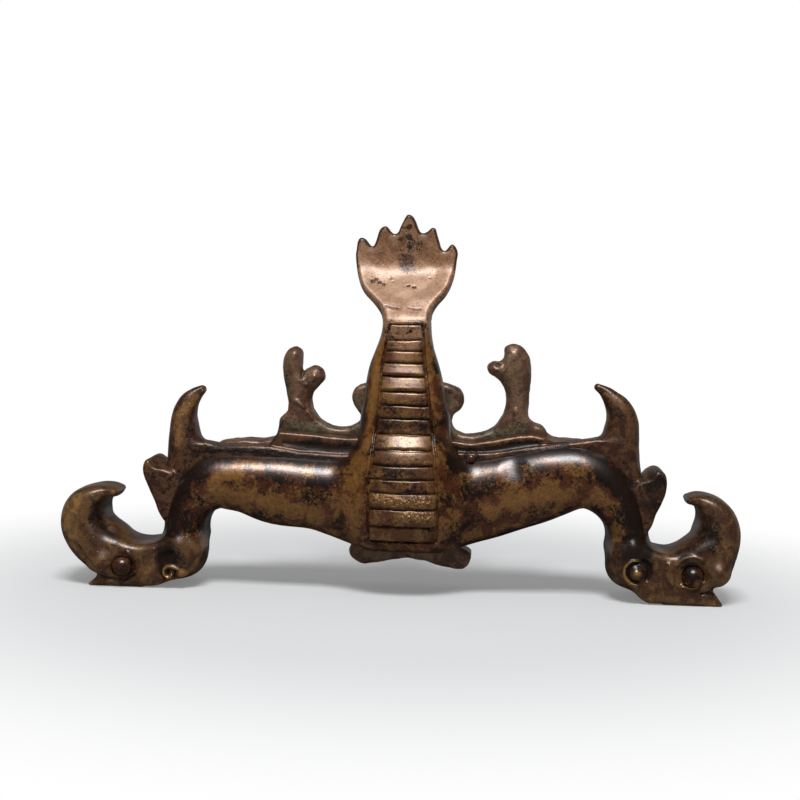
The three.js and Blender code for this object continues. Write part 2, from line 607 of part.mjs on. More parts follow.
/** The fan's front line in side view as [length, y, z]: leans back, then curls up again. */
function fanLine() {
  const steps = 120;
  const step = FAN_LENGTH / steps;
  const line = [[0, through(BODY_SECTIONS, WAIST_HEIGHT, 2), WAIST_HEIGHT + FIT / 2]];
  // two steps more than the fan needs, so that its direction is known at the very tip
  for (let i = 0; i < steps + 2; i += 1) {
    const lean = FAN_LEAN * through(FAN_LEAN_SHARES, (i + 0.5) / steps);
    const turn = THREE.MathUtils.degToRad(lean);
    const [, y, z] = line.at(-1);
    line.push([(i + 1) * step, y + step * Math.sin(turn), z + step * Math.cos(turn)]);
  }
  return line;
}

/** Tail fan: a dished sheet with a raised rim and five lobes along its top, and a tenon below. */
function makeTailFan() {
  const line = fanLine();
  const smoothstep = THREE.MathUtils.smoothstep;
  const between = (i) => (FAN_EDGE_SHARES[i - 1][0] + FAN_EDGE_SHARES[i][0]) / 2;
  const across = FAN_EDGE_SHARES.flatMap(([share], i) => (i > 0 ? [between(i), share] : [share]));
  // lengths along the fan from here on are shares of its whole length
  const middle = (s) => bodyMiddle(WAIST_HEIGHT) * (1 - smoothstep(s, 0, 0.4));
  const dish = (s, share) => FAN_DISH * (1 - Math.abs(share) ** 6) * smoothstep(s, 0, 0.27);
  const thick = (s) => {
    const plain = THREE.MathUtils.lerp(FAN_ROOT_THICK, FAN_THICK, smoothstep(s, 0, 0.27));
    return plain - FAN_TIP_THIN * smoothstep(s, 0.6, 1);
  };
  const point = (s, share, depth) => {
    const y = through(line, s * FAN_LENGTH, 1);
    const z = through(line, s * FAN_LENGTH, 2);
    const ahead = s * FAN_LENGTH + FAN_LENGTH / 150;
    const turn = s > 0 ? Math.atan2(through(line, ahead, 1) - y, through(line, ahead, 2) - z) : 0;
    return new THREE.Vector3(
      middle(s) + share * FAN_HALF_WIDTH * through(FAN_SPREAD_SHARES, s),
      y + depth * Math.cos(turn),
      z - depth * Math.sin(turn),
    );
  };
  const level = 0.68;
  const rows = [0, 0.125, 0.25, 0.4, 0.55, 0.7, 0.85, 1].map((part) => () => part * level);
  for (const part of [0.35, 0.7, 1]) {
    rows.push((share) => level + part * (through(FAN_EDGE_SHARES, share) - level));
  }
  const rings = rows.map((row) => [
    ...across.map((share) => point(row(share), share, dish(row(share), share))),
    ...across.map((share) => point(row(share), share, thick(row(share)))).reverse(),
  ]);
  return toSolid(closedSheet(rings, across.length)).add(fanTenon());
}

/** A skin over rows that each run along the front and back again, closed below and along the top. */
function closedSheet(rings, count) {
  const sides = 2 * count;
  const points = rings.flat();
  const index = [];
  for (let r = 0; r + 1 < rings.length; r += 1) {
    for (let s = 0; s < sides; s += 1) {
      const a = r * sides + s;
      const b = r * sides + ((s + 1) % sides);
      index.push(a, b, a + sides, b, b + sides, a + sides);
    }
  }
  const top = points.length - sides;
  for (let s = 0; s + 1 < count; s += 1) {
    const [a, b, c, d] = [s, s + 1, sides - 2 - s, sides - 1 - s];
    index.push(b, a, d, b, d, c);
    index.push(top + a, top + b, top + d, top + b, top + c, top + d);
  }
  return closedGeometry(points, index);
}

/** A rivet set from the back: dome outside the plate, and either a hidden tip or a bead in front. */
function makeRivet({ x, z, tip, bead }) {
  const dome = (radius, height, base, turn) => [0, 0.35, 0.7, 1].map((t) => {
    const rise = (t * Math.PI) / 2;
    return [radius * Math.cos(rise), base + turn * height * Math.sin(rise)];
  });
  const frontEnd = bead
    ? [...dome(RIVET_BEAD, RIVET_BEAD * 0.8, tip, -1).reverse(), [RIVET_SHANK, tip]]
    : [[0, tip], [RIVET_SHANK, tip]];
  const seat = REAR + FIT;
  const profile = [...frontEnd, [RIVET_SHANK, seat], ...dome(RIVET_HEAD, RIVET_DOME, seat, 1)];
  profile[0][0] = 0;
  profile.at(-1)[0] = 0;
  const geometry = new THREE.LatheGeometry(profile.map(([r, y]) => new THREE.Vector2(r, y)), 12);
  return toSolid(geometry.translate(x, 0, z));
}

const BRONZE = {
  polished: { color: 0x8a6230, roughness: 0.32, metalness: 0.9 },
  brown: { color: 0x5e3f28, roughness: 0.4, metalness: 0.85 },
  coppery: { color: 0xa67a52, roughness: 0.35, metalness: 0.9 },
  rough: { color: 0x665c4a, roughness: 0.62, metalness: 0.75 },
  bead: { color: 0x7c4128, roughness: 0.3, metalness: 0.9 },
  rivet: { color: 0x8c8270, roughness: 0.4, metalness: 0.85 },
};

/** A named mesh of one piece in its own bronze. */
function piece(name, solid, finish) {
  const mesh = new THREE.Mesh(toGeometry(solid), new THREE.MeshStandardMaterial(BRONZE[finish]));
  mesh.name = name;
  return mesh;
}

const pieces = new THREE.Group();
pieces.add(piece('body', makeBody(), 'polished'));
pieces.add(piece('tail_fan', makeTailFan(), 'coppery'));
pieces.add(piece('back_plate', makeBackPlate(), 'rough'));
for (const side of [LEFT, RIGHT]) {
  pieces.add(piece(`${side.name}_neck`, makeNeck(side), 'polished'));
  pieces.add(piece(`${side.name}_head`, makeHead(side), 'brown'));
  pieces.add(piece(`${side.name}_crest`, makeCrest(side), 'brown'));
  pieces.add(piece(`${side.name}_front_eye`, makeEye(side, -1), 'bead'));
  pieces.add(piece(`${side.name}_rear_eye`, makeEye(side, 1), 'bead'));
}
for (const rivet of RIVETS) pieces.add(piece(rivet.name, makeRivet(rivet), 'rivet'));

// The middle of the outer box goes over the origin, and the feet stay on the table.
const outer = new THREE.Box3().setFromObject(pieces);
const middle = outer.getCenter(new THREE.Vector3());
pieces.position.set(-middle.x, -middle.y, 0);

const rest = new THREE.Group();
rest.add(pieces);
export default rest;
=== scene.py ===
"""The dressed brush rest: a bronze dragon with two trunk-nosed heads, two necks and one fan tail.

Forms are worked out in millimetres in the maker's frame, where X runs along the rest, Y goes from the front
(negative) to the back, Y = 0 is the middle plane of heads and necks, and Z = 0 is the table. Finished meshes are
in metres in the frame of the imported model.
"""

import logging
import math
from collections.abc import Callable, Iterable, Iterator
from dataclasses import dataclass, field
from enum import Enum
from functools import lru_cache

import bmesh
import bpy
import numpy as np
from mathutils import Matrix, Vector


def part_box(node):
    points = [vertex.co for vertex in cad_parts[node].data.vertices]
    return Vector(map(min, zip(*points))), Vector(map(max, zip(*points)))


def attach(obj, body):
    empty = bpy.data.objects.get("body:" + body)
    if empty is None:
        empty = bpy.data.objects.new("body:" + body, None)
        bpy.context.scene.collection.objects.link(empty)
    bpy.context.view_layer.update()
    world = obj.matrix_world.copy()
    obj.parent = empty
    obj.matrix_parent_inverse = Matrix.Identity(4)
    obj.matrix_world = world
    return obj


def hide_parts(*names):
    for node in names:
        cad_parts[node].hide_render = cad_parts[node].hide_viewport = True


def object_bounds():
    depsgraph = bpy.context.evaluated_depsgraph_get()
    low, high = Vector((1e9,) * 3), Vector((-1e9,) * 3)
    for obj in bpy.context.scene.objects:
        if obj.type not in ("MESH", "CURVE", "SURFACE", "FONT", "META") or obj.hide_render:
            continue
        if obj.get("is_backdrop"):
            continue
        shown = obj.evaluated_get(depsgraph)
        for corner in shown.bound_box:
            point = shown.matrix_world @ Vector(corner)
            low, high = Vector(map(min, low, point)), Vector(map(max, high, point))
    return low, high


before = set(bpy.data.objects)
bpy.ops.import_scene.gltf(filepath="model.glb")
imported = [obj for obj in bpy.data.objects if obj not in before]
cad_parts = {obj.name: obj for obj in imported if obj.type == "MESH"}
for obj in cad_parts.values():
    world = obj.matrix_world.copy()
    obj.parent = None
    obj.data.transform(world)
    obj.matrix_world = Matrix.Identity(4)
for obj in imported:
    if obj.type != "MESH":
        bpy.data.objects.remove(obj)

log = logging.getLogger("brush_rest")

Array = np.ndarray
Rows = tuple[tuple[float, ...], ...]
Colour = tuple[float, float, float]
Field = Callable[[Array, Array, Array], Array]
Paint = Callable[[Array], dict[str, Array]]
Socket = bpy.types.NodeSocket

MM = 1000.0  # millimetres in a metre

# Layers from front to back
HEAD_HALF = 9.0
JAW_HALF = 8.1
NECK_HALF = 8.5
CREST_FRONT = -4.5
RIDGE_FRONT = -3.3
EAR_HALF = 6.5
BODY_MIDDLE = -1.0
BODY_REAR = 1.9
PLATE_FRONT = 2.0
PLATE_REAR = 10.0
RIVETS_REAR = 11.1

# Heights and places shared by several pieces
BELLY_BOTTOM = 10.8
BELLY_OFFSET = 1.3
SHOULDER = 13.0
NECK_FLARE = 1.2
HEEL_DRAW = 2.2
EYE_SINK = 0.4
BURIED = 1.6
SCUTE_FOOT = 13.9
WAIST = 65.0

# Where a part can reach the surface: heights, and for a head the places outward from its neck's foot
NECK_HEIGHTS = (-9.0, 46.0)
FAN_HEIGHTS = (WAIST - 5.5, 99.0)
HEAD_REACH = (-14.0, 40.0)


class Slot(Enum):
    """Material slots of the record."""

    POLISHED = "polished_bronze"
    BROWN = "brown_bronze"
    COPPERY = "coppery_bronze"
    ROUGH = "rough_bronze"
    EYE = "eye_bronze"
    RIVET = "rivet_bronze"


# Lines, distances and blends


@lru_cache(maxsize=None)
def smooth_line(rows: Rows, steps: int, closed: bool = False) -> Array:
    """Lay a smooth line through rows whose first two columns are a place.

    Args:
        rows: The rows that the line passes through.
        steps: How many rows each stretch is divided into.
        closed: Whether the line runs round to its start.

    Returns:
        The rows of the finer line, without the start again at the end of a closed one.
    """
    points = np.asarray(rows, float)
    if closed:
        points = np.vstack([points[-1:], points, points[:2]])
    else:
        points = np.vstack([2 * points[0] - points[1], points, 2 * points[-1] - points[-2]])
    gaps = np.sqrt(np.linalg.norm(np.diff(points[:, :2], axis=0), axis=1)) + 1e-6
    share = (np.arange(steps) / steps)[:, None]
    square, cube = share**2, share**3
    laid = []
    for i in range(1, len(points) - 2):
        a, b, c, d = points[i - 1 : i + 3]
        before, here, after = gaps[i - 1 : i + 2]
        leave = ((b - a) / before - (c - a) / (before + here) + (c - b) / here) * here
        arrive = ((c - b) / here - (d - b) / (here + after) + (d - c) / after) * here
        laid.append(
            (2 * cube - 3 * square + 1) * b
            + (cube - 2 * square + share) * leave
            + (3 * square - 2 * cube) * c
            + (cube - square) * arrive
        )
    if not closed:
        laid.append(points[-2:-1])
    return np.vstack(laid)


def through(table: Rows, at: Array, column: int = 1) -> Array:
    """Read one column of a table smoothly at places along its first column.

    Args:
        table: Rows that rise in their first column.
        at: The places to read at.
        column: The column to read.

    Returns:
        The smooth values, held at both ends.
    """
    rows = np.asarray(table, float)
    place, value = rows[:, 0], rows[:, column]
    last = len(rows) - 1
    slope = np.array(
        [
            (value[min(i + 1, last)] - value[max(i - 1, 0)]) / (place[min(i + 1, last)] - place[max(i - 1, 0)])
            for i in range(last + 1)
        ]
    )
    at = np.asarray(at, float)
    i = np.clip(np.searchsorted(place, at) - 1, 0, last - 1)
    width = place[i + 1] - place[i]
    t = np.clip((at - place[i]) / width, 0, 1)
    square, cube = t**2, t**3
    return (
        (2 * cube - 3 * square + 1) * value[i]
        + (cube - 2 * square + t) * width * slope[i]
        + (3 * square - 2 * cube) * value[i + 1]
        + (cube - square) * width * slope[i + 1]
    )


def stretches(starts: Array, ends: Array, x: Array, z: Array) -> Iterator[tuple[Array, ...]]:
    """Measure places against each straight stretch of a line in the upright plane.

    Args:
        starts: Where each stretch starts, x and z.
        ends: Where each stretch ends.
        x: Places along the rest.
        z: Heights.

    Yields:
        The stretch's run and rise, the way along x and z to each place from its start, and the share of it that
        lies before its nearest point.
    """
    for a, b in zip(starts, ends):
        run, rise = b[0] - a[0], b[1] - a[1]
        dx, dz = x - a[0], z - a[1]
        yield run, rise, dx, dz, np.clip((dx * run + dz * rise) / (run * run + rise * rise + 1e-12), 0, 1)


def nearest(line: Array, x: Array, z: Array) -> tuple[Array, Array, Array]:
    """Find the nearest place on a line in the upright plane.

    Args:
        line: Rows whose first two columns are x and z.
        x: Places along the rest.
        z: Heights.

    Returns:
        The distance, the place along the line in rows, and the side of it, positive on its left.
    """
    x, z = np.broadcast_arrays(np.asarray(x, float), np.asarray(z, float))
    best, place, side = np.full(x.shape, 1e12), np.zeros(x.shape), np.ones(x.shape)
    for i, (run, rise, dx, dz, t) in enumerate(stretches(line[:-1], line[1:], x, z)):
        far = (dx - t * run) ** 2 + (dz - t * rise) ** 2
        nearer = far < best
        best = np.where(nearer, far, best)
        place = np.where(nearer, i + t, place)
        side = np.where(nearer, np.sign(run * dz - rise * dx), side)
    return np.sqrt(best), place, side


def shared_place(line: Array, x: Array, z: Array, gap: Array, spread: float = 1.2) -> Array:
    """Mean place along a line of all that is about as near as the nearest, which is smooth inside a sharp bend."""
    total, weight = 0.0, 1e-9
    for i, (run, rise, dx, dz, t) in enumerate(stretches(line[:-1], line[1:], x, z)):
        share = np.exp((gap - np.hypot(dx - t * run, dz - t * rise)) / spread)
        total, weight = total + share * (i + t), weight + share
    return total / weight


def outline_distance(outline: Array, x: Array, z: Array) -> Array:
    """Distance to a closed outline in the upright plane, negative inside.

    Args:
        outline: Corners of the outline, x and z.
        x: Places along the rest.
        z: Heights.

    Returns:
        The signed distance.
    """
    x, z = np.broadcast_arrays(np.asarray(x, float), np.asarray(z, float))
    best, outside = np.full(x.shape, 1e12), np.ones(x.shape, bool)
    ends = np.roll(outline, -1, axis=0)
    for end, (run, rise, dx, dz, t) in zip(ends, stretches(outline, ends, x, z)):
        best = np.minimum(best, (dx - t * run) ** 2 + (dz - t * rise) ** 2)
        above, below, left = dz >= 0, z < end[1], run * dz > rise * dx
        outside ^= (above & below & left) | ~(above | below | left)
    return np.where(outside, 1.0, -1.0) * np.sqrt(best)


def ease(value: Array, low: float, high: float) -> Array:
    """Rise smoothly from 0 at low to 1 at high."""
    t = np.clip((value - low) / (high - low), 0, 1)
    return t * t * (3 - 2 * t)


def join(a: Array, b: Array, fillet: float) -> Array:
    """Join two forms with a fillet of about that radius."""
    h = np.clip(0.5 + 0.5 * (b - a) / fillet, 0, 1)
    return b + (a - b) * h - fillet * h * (1 - h)


def cut(a: Array, b: Array, fillet: float) -> Array:
    """Cut form b out of form a, with its edges softened."""
    return -join(-a, b, fillet)


def meet(a: Array, b: Array, radius: float) -> Array:
    """The space inside both forms, with the edge between them rounded to that radius."""
    beyond = np.hypot(np.maximum(a + radius, 0), np.maximum(b + radius, 0))
    return np.minimum(np.maximum(a, b) + radius, 0) + beyond - radius


def squircle(u: Array, v: Array, wide: Array, deep: Array, power: Array | float) -> Array:
    """Distance to a rounded-square section.

    Args:
        u: Place across the section as a share of its half width, from 0.
        v: Place through the section as a share of its half depth, from 0.
        wide: Half width.
        deep: Half depth.
        power: 2 gives an ellipse, and more gives squarer corners.

    Returns:
        The signed distance, exact near the surface.
    """
    u, v = np.maximum(u, 1e-4), np.maximum(v, 1e-4)
    total = np.maximum(u**power + v**power, 1e-3)
    reach = total ** (1 / power)
    slope = np.hypot(u ** (power - 1) / wide, v ** (power - 1) / deep) * reach ** (1 - power)
    return (reach - 1) / np.maximum(slope, 1e-3)


def cell_corners(part: Array) -> Iterator[tuple[tuple[int, ...], Array]]:
    """Each corner of a lattice cell, with its weight at places given as shares of the cell."""
    for corner in np.ndindex(2, 2, 2):
        yield corner, np.prod(np.where(np.array(corner, bool), part, 1 - part), axis=1)


def lumps(points: Array, size: float, seed: int) -> Array:
    """Smooth random lumps, the same at the same place on every piece.

    Args:
        points: Places in millimetres.
        size: Width of one lump.
        seed: Which pattern it is.

    Returns:
        Values from -1 to 1.
    """
    place = points / size
    low = np.floor(place).astype(np.int64)
    part = place - low
    part = part * part * (3 - 2 * part)
    total = np.zeros(len(points))
    for corner, weight in cell_corners(part):
        key = (low + corner) * (73856093, 19349663, 83492791)
        mixed = (key[:, 0] ^ key[:, 1] ^ key[:, 2] ^ (seed * 2654435761)) & 0xFFFFFFFF
        mixed = ((mixed ^ (mixed >> 15)) * 2246822519) & 0xFFFFFFFF
        mixed = ((mixed ^ (mixed >> 13)) * 3266489917) & 0xFFFFFFFF
        value = ((mixed ^ (mixed >> 16)) & 0xFFFF) / 32767.5 - 1
        total += weight * value
    return total


@dataclass(frozen=True)
class Limb:
    """A limb swept in the upright plane, with a rounded-square section.

    Rows hold outward place, height, half width and half depth.
    """

    rows: Rows
    left_power: float = 2.3
    right_power: float = 2.3

    def field(self, x: Array, y: Array, z: Array) -> Array:
        """Signed distance to the limb."""
        line = smooth_line(self.rows, 5)
        gap, place, side = nearest(line, x, z)
        place = shared_place(line, x, z, gap)
        rows = np.arange(len(line))
        wide = np.interp(place, rows, line[:, 2])
        deep = np.interp(place, rows, line[:, 3])
        power = self.left_power
        if self.left_power != self.right_power:
            turn = 0.5 + 0.5 * side * ease(gap / wide, 0.0, 0.4)
            power = self.right_power + (self.left_power - self.right_power) * turn
        return squircle(gap / wide, np.abs(y) / deep, wide, deep, power)


@dataclass(frozen=True)
class Mark:
    """A mark on a face: a groove, a dent, a raised line or dot, or only a change of colour.

    Rows hold outward place, height and half width, and one row alone is a dot. A positive depth sinks in. A positive
    tint is rubbed golden or a painted highlight, and a negative one is dark, as dirt or as painted shade. Crisp marks
    have a clear edge.
    """

    rows: Rows
    depth: float = 0.0
    tint: float = 0.0
    rough: float = 0.0
    green: float = 0.0
    copper: float = 0.0
    crisp: bool = False

    def share(self, x: Array, z: Array) -> Array:
        """How much of the mark is at each place, from 0 at its edge to 1 along its middle."""
        rows = self.rows if len(self.rows) > 1 else self.rows + ((self.rows[0][0] + 0.01, *self.rows[0][1:]),)
        line = smooth_line(rows, 4 if len(rows) > 2 else 1)
        gap, place, _ = nearest(line, x, z)
        wide = np.interp(place, np.arange(len(line)), line[:, 2])
        inside = np.clip(1 - (gap / np.maximum(wide, 0.05)) ** 2, 0, 1)
        return inside if self.crisp else inside * inside


def sunk(marks: Iterable[Mark], x: Array, z: Array) -> Array | float:
    """Total depth of the marks at each place."""
    return sum(mark.depth * mark.share(x, z) for mark in marks if mark.depth)


# The forms of the rest


@dataclass(frozen=True)
class SideForm:
    """Sizes of one head, neck and crest. Places are outward from the foot of the neck unless a name says otherwise.

    The two sides were modelled by hand, so each has its own outlines.
    """

    name: str
    sign: int
    foot: float
    joint: float
    crook: float
    neck: Rows
    snout: Limb
    base: tuple[float, float]
    face: Rows
    jaw: Rows
    eye: tuple[float, float, float]
    socket: float
    horn: Limb
    ear: Rows
    scoop: Rows
    ledge: Rows
    ridge: Rows
    crest_foot: float
    marks: tuple[Mark, ...]
    neck_marks: tuple[Mark, ...]
    crest_marks: tuple[Mark, ...]

    @property
    def root(self) -> float:
        """Distance from the middle of the rest to the joint with the body."""
        return SHOULDER + self.sign * BELLY_OFFSET

    @property
    def neck_limb(self) -> Limb:
        """The neck's tube, in distances from the middle of the rest."""
        reach = self.foot - self.root
        return Limb(tuple((self.root + share * reach, z, half, NECK_HALF) for share, z, half in self.neck), 2.1, 2.1)

    def neck_field(self, x: Array, y: Array, z: Array) -> Array:
        """Signed distance to the neck's tube, which is a little wider at its rear above the foot."""
        middle = self.sign * x
        above_foot = (1 - ease(z, 14.0, 24.0)) * ease(z, 8.0, 12.0) * ease(self.foot - middle, 1.0, 4.0)
        return self.neck_limb.field(middle, y, z) - NECK_FLARE * ease(y, 0.0, 7.0) * above_foot

    def head_field(self, x: Array, y: Array, z: Array) -> Array:
        """Signed distance to face, snout and jaw. The heel draws in towards the back."""
        out = self.sign * x - self.foot
        inner, outer = self.base
        top = smooth_line(((outer, 0.0), *self.face, (inner, 0.0)), 4)[:, :2]
        heel = HEEL_DRAW * ease(y, -2.0, 8.0) * (1 - ease(z, 9.0, 13.0)) * (1 - ease(out, -1.0, 4.0))
        face = meet(outline_distance(top, out, z) + heel, np.abs(y) - HEAD_HALF, 2.2)
        jaw = meet(outline_distance(np.asarray(self.jaw), out, z), np.abs(y) - JAW_HALF, 0.6)
        head = join(face, self.snout.field(out, y, z), 2.6)
        return join(head, jaw, 0.5)

    def casting_field(self, x: Array, y: Array, z: Array) -> Array:
        """Signed distance to neck and head in one, with the marks on both faces and the sockets."""
        form = self.neck_field(x, y, z) + sunk(self.neck_marks, self.sign * x, z) * ease(-y, 1.0, 4.0)
        low, high = sorted(self.sign * (self.foot + reach) for reach in HEAD_REACH)
        head = near(self.head_field, 0, low, high)
        out = self.sign * x - self.foot
        form = join(form, head(x, y, z), 3.2)
        form = form + sunk(self.marks, out, z) * ease(np.abs(y), 4.0, 7.0)
        eye_out, eye_z, _ = self.eye
        ball = np.sqrt((out - eye_out) ** 2 + (np.abs(y) - HEAD_HALF + EYE_SINK) ** 2 + (z - eye_z) ** 2)
        form = cut(form, ball - self.socket, 0.35)
        return meet(form, 0 - z, 0.5)

    def crest_field(self, x: Array, y: Array, z: Array) -> Array:
        """Signed distance to ledge, ridge, horn and ear, with the part inside the neck left out."""
        middle = self.sign * x
        out = middle - self.foot

        def step(points: Rows, front: float, radius: float) -> Array:
            """A step of the crest with its foot inside the neck."""
            foot = ((points[-1][0], self.crest_foot), (points[0][0], self.crest_foot))
            edge = outline_distance(np.asarray(foot + points), middle, z)
            return meet(edge, np.maximum(front - y, y - BODY_REAR - 0.6), radius)

        horn_root = ((self.foot - 2, self.ledge[-1][1] - 0.6), (self.foot + 1.5, self.crest_foot + 2))
        crest = join(step(self.ledge + horn_root, CREST_FRONT, 0.7), step(self.ridge, RIDGE_FRONT, 0.8), 0.5)
        crest = join(crest, self.horn.field(out, y, z), 2.2)
        ear = meet(outline_distance(smooth_line(self.ear, 4, True), out, z), np.abs(y) - EAR_HALF, 1.3)
        (*start, narrow), (*end, wide) = self.scoop
        run = np.subtract(end, start)
        dx, dy, dz = out - start[0], y - start[1], z - start[2]
        t = np.clip((dx * run[0] + dy * run[1] + dz * run[2]) / (run @ run), 0, 1)
        hollow = np.sqrt((dx - t * run[0]) ** 2 + (dy - t * run[1]) ** 2 + (dz - t * run[2]) ** 2)
        ear = cut(ear, hollow - (narrow + t * (wide - narrow)), 0.6)
        crest = join(crest, ear, 1.0)
        crest = crest + sunk(self.crest_marks, middle, z) * ease(-y, 0.5, 2.5)
        return np.maximum(crest, -BURIED - self.neck_field(x, y, z))


LEFT = SideForm(
    name="left",
    sign=-1,
    foot=52.3,
    joint=12.5,
    crook=11.5,
    neck=(
        (-0.2, 21.8, 10.2), (0.03, 22.3, 10.2), (0.2, 23.5, 9.2), (0.45, 24.3, 9.0), (0.7, 25.7, 7.6),
        (0.84, 25.2, 7.1), (0.94, 21.8, 6.1), (0.99, 17.2, 5.3), (1, 12.5, 5.0), (1, 7, 5.4),
    ),
    snout=Limb(
        (
            (17.5, 7.4, 4.6, 8.8), (21.7, 11, 6.0, 8.8), (23.4, 13.8, 6.3, 8.8), (23.8, 16.4, 6.1, 8.7),
            (23.2, 18.7, 5.5, 8.6), (21.9, 20.2, 4.5, 8.3), (20.5, 21.5, 3.1, 7.8), (19.1, 22.2, 2.0, 7.0),
            (17.9, 22.4, 1.2, 6.0), (16.8, 22.3, 0.5, 4.8),
        ),
        2.3,
        3.6,
    ),
    base=(8.5, 18.0),
    face=(
        (20, 2.9), (22.5, 5.2), (24.6, 7.7), (25.8, 10.2), (25, 12.6), (20.5, 14), (17, 12.6), (13.6, 11),
        (10, 10.4), (6, 11), (1.5, 12.4), (-3, 12), (-5.4, 9.6), (-4.6, 7), (-2, 4.2), (2.2, 1.8), (5.5, 0.4),
    ),
    jaw=((8.5, -1), (21.6, -1), (22.2, 0.4), (21, 1.5), (19.7, 2.7), (14, 5), (8.5, 4)),
    eye=(13.8, 5.1, 2.4),
    socket=2.44,
    horn=Limb(
        (
            (-0.2, 26.5, 4.8, 5.0), (0, 30.5, 4.5, 5.0), (0.2, 34, 4.1, 5.0), (0.5, 38, 3.5, 4.8), (0.4, 42, 2.9, 4.3),
            (-0.6, 44.8, 2.4, 3.6), (-2.1, 46.5, 1.5, 2.6), (-3.7, 47.7, 0.35, 1.2),
        ),
        2.8,
        2.8,
    ),
    ear=(
        (2.2, 28), (4.4, 28.8), (5.8, 30.2), (7.5, 31.1), (9, 30.5), (9.6, 28.6), (9.2, 26.4), (8.2, 24),
        (6.7, 20.8), (5.4, 17.6), (3.4, 15.4), (1.2, 17), (0, 21), (0.6, 25),
    ),
    scoop=((5.6, -7.5, 31.0, 2.6), (5.0, 2.5, 33.6, 3.0)),
    ledge=((9, 33.2), (16, 33.2), (24, 33.5), (31, 34.6), (36, 34.7), (44, 34.5), (47, 35.2)),
    ridge=((9, 37.2), (13, 37.1), (24, 37.9), (29.3, 38.2), (30, 37.6), (31.6, 35)),
    crest_foot=27,
    marks=(
        # the hollow under the trunk, the swelling at its foot, and the dish round the eye, darkened with painted shade
        Mark(((18.0, 13.2, 4.0),), 0.7, -0.1),
        Mark(((18.9, 5.8, 4.2),), -1.6, 0.3),
        Mark(((12.9, 5.1, 3.7),), 1.0, -0.35, crisp=True),
        # the lid on the inner side of the eye
        Mark(((12.4, 8.6, 0.5), (10.8, 7.0, 0.9), (10.2, 4.8, 0.7), (10.9, 3.2, 0.4)), -0.4, 0.1),
        # the bevelled lip, and the seam of the mouth that runs round below the eye, dark as a joint and partly as
        # painted shade below the eye
        Mark(((25.4, 10.4, 0.9), (23.2, 7.6, 1.0), (21.2, 5.4, 1.0), (19.4, 3.4, 0.8)), 0.6, 0.6),
        Mark(((21.4, 3.3, 0.5), (18.0, 2.4, 0.8), (15.0, 1.9, 0.9), (12.4, 2.1, 0.8), (10.6, 3.2, 0.5)), 0.45, -0.5),
        # the curl: a crescent hollow, then a small spiral
        Mark((
            (1.6, 9.2, 0.5), (2.9, 8.5, 1.1), (4.1, 6.9, 1.6), (4.5, 5.2, 1.5), (4.2, 3.5, 1.0), (3.3, 2.6, 0.5),
        ), 0.7, -0.35),
        Mark((
            (-0.1, 5.0, 0.5), (1.2, 5.5, 0.65), (2.6, 5.5, 0.65), (3.6, 4.5, 0.6), (3.3, 3.1, 0.5), (2.2, 2.8, 0.45),
            (1.5, 3.6, 0.35),
        ), -0.6, 1.3),
        Mark(((2.4, 4.6, 0.4), (2.5, 3.8, 0.35)), 0.5, -0.9),
        Mark(((0.7, 4.4, 0.35), (0.9, 3.3, 0.4), (1.3, 2.3, 0.3)), 0.35, -0.6),
        Mark(((-0.9, 3.9, 1.6),), -0.8, 1.4),
        # the swelling above the curl
        Mark(((0.7, 10.4, 3.2),), -0.5, 0.1),
        # colour only: the rubbed edge of the heel, the trunk's front face rubbed golden, painted shade where the trunk
        # turns into the crook, and painted highlights on the cheek
        Mark(((-4.6, 7.4, 0.9), (-2.4, 4.2, 1.2), (2.0, 1.6, 1.4), (6.0, 0.2, 1.2)), 0, 0.55),
        Mark(((25.0, 20.0, 4.4), (27, 16, 5.0), (26, 12.6, 3.6)), 0, 0.75),
        Mark(((20.6, 19.4, 2.0), (20.4, 16.6, 2.8), (18.6, 13.4, 2.6), (15.6, 11.4, 2.0)), 0, -0.6),
        Mark(((-3, 10, 4.6), (3, 12.4, 4.0)), 0, 0.3), Mark(((8.8, 3.8, 2.4), (6.4, 5.6, 2.4)), 0, 0.6),
    ),
    neck_marks=(
        Mark(((45, 24.0, 3.4), (36, 22, 4.0), (27, 20.6, 4.0), (18, 18.4, 4.6)), 0, 0.6),
        Mark(((33, 27.4, 1.8), (24, 27.2, 2.0), (15, 26.4, 1.8)), 0, -0.35),
        # a painted highlight: a warm glow at the outer end of the neck's highlight
        Mark(((44, 27.4, 2.2), (38, 28.4, 2.2)), 0, 0.6),
        Mark(((47, 30.6, 3.6), (53, 25, 5.0), (55, 16, 6.5), (54, 8, 6.5)), 0, -0.9),
        # painted shade on the neck's top beside the crest and on its underside
        Mark(((52, 31.4, 3.0), (38, 33.4, 2.8), (26, 32.4, 2.6), (12, 31.6, 2.6)), 0, -0.75),
        Mark(((44, 17.0, 3.0), (34, 14.6, 2.6), (24, 12.4, 2.6)), 0, -0.5),
        Mark(((24, 31, 2.4),), 0, -0.3),
    ),
    crest_marks=(
        # painted shade in the dark strip where the ledge meets the neck, over a rough texture, then a darkened groove
        # along the ledge
        Mark(((10, 31.4, 1.4), (22, 31.8, 1.3), (34, 33.4, 1.2), (46, 33.6, 1.2)), 0.25, -1.0, 1.2),
        Mark(((12, 34.6, 1.6), (20, 34.8, 1.5), (28, 35.6, 1.0)), 0.35, -0.7),
        Mark(((49.4, 45.6, 1.6), (52.2, 43.2, 2.4), (53.4, 39.4, 2.6), (53.2, 35.0, 2.4)), 0, 0.75),
    ),
)

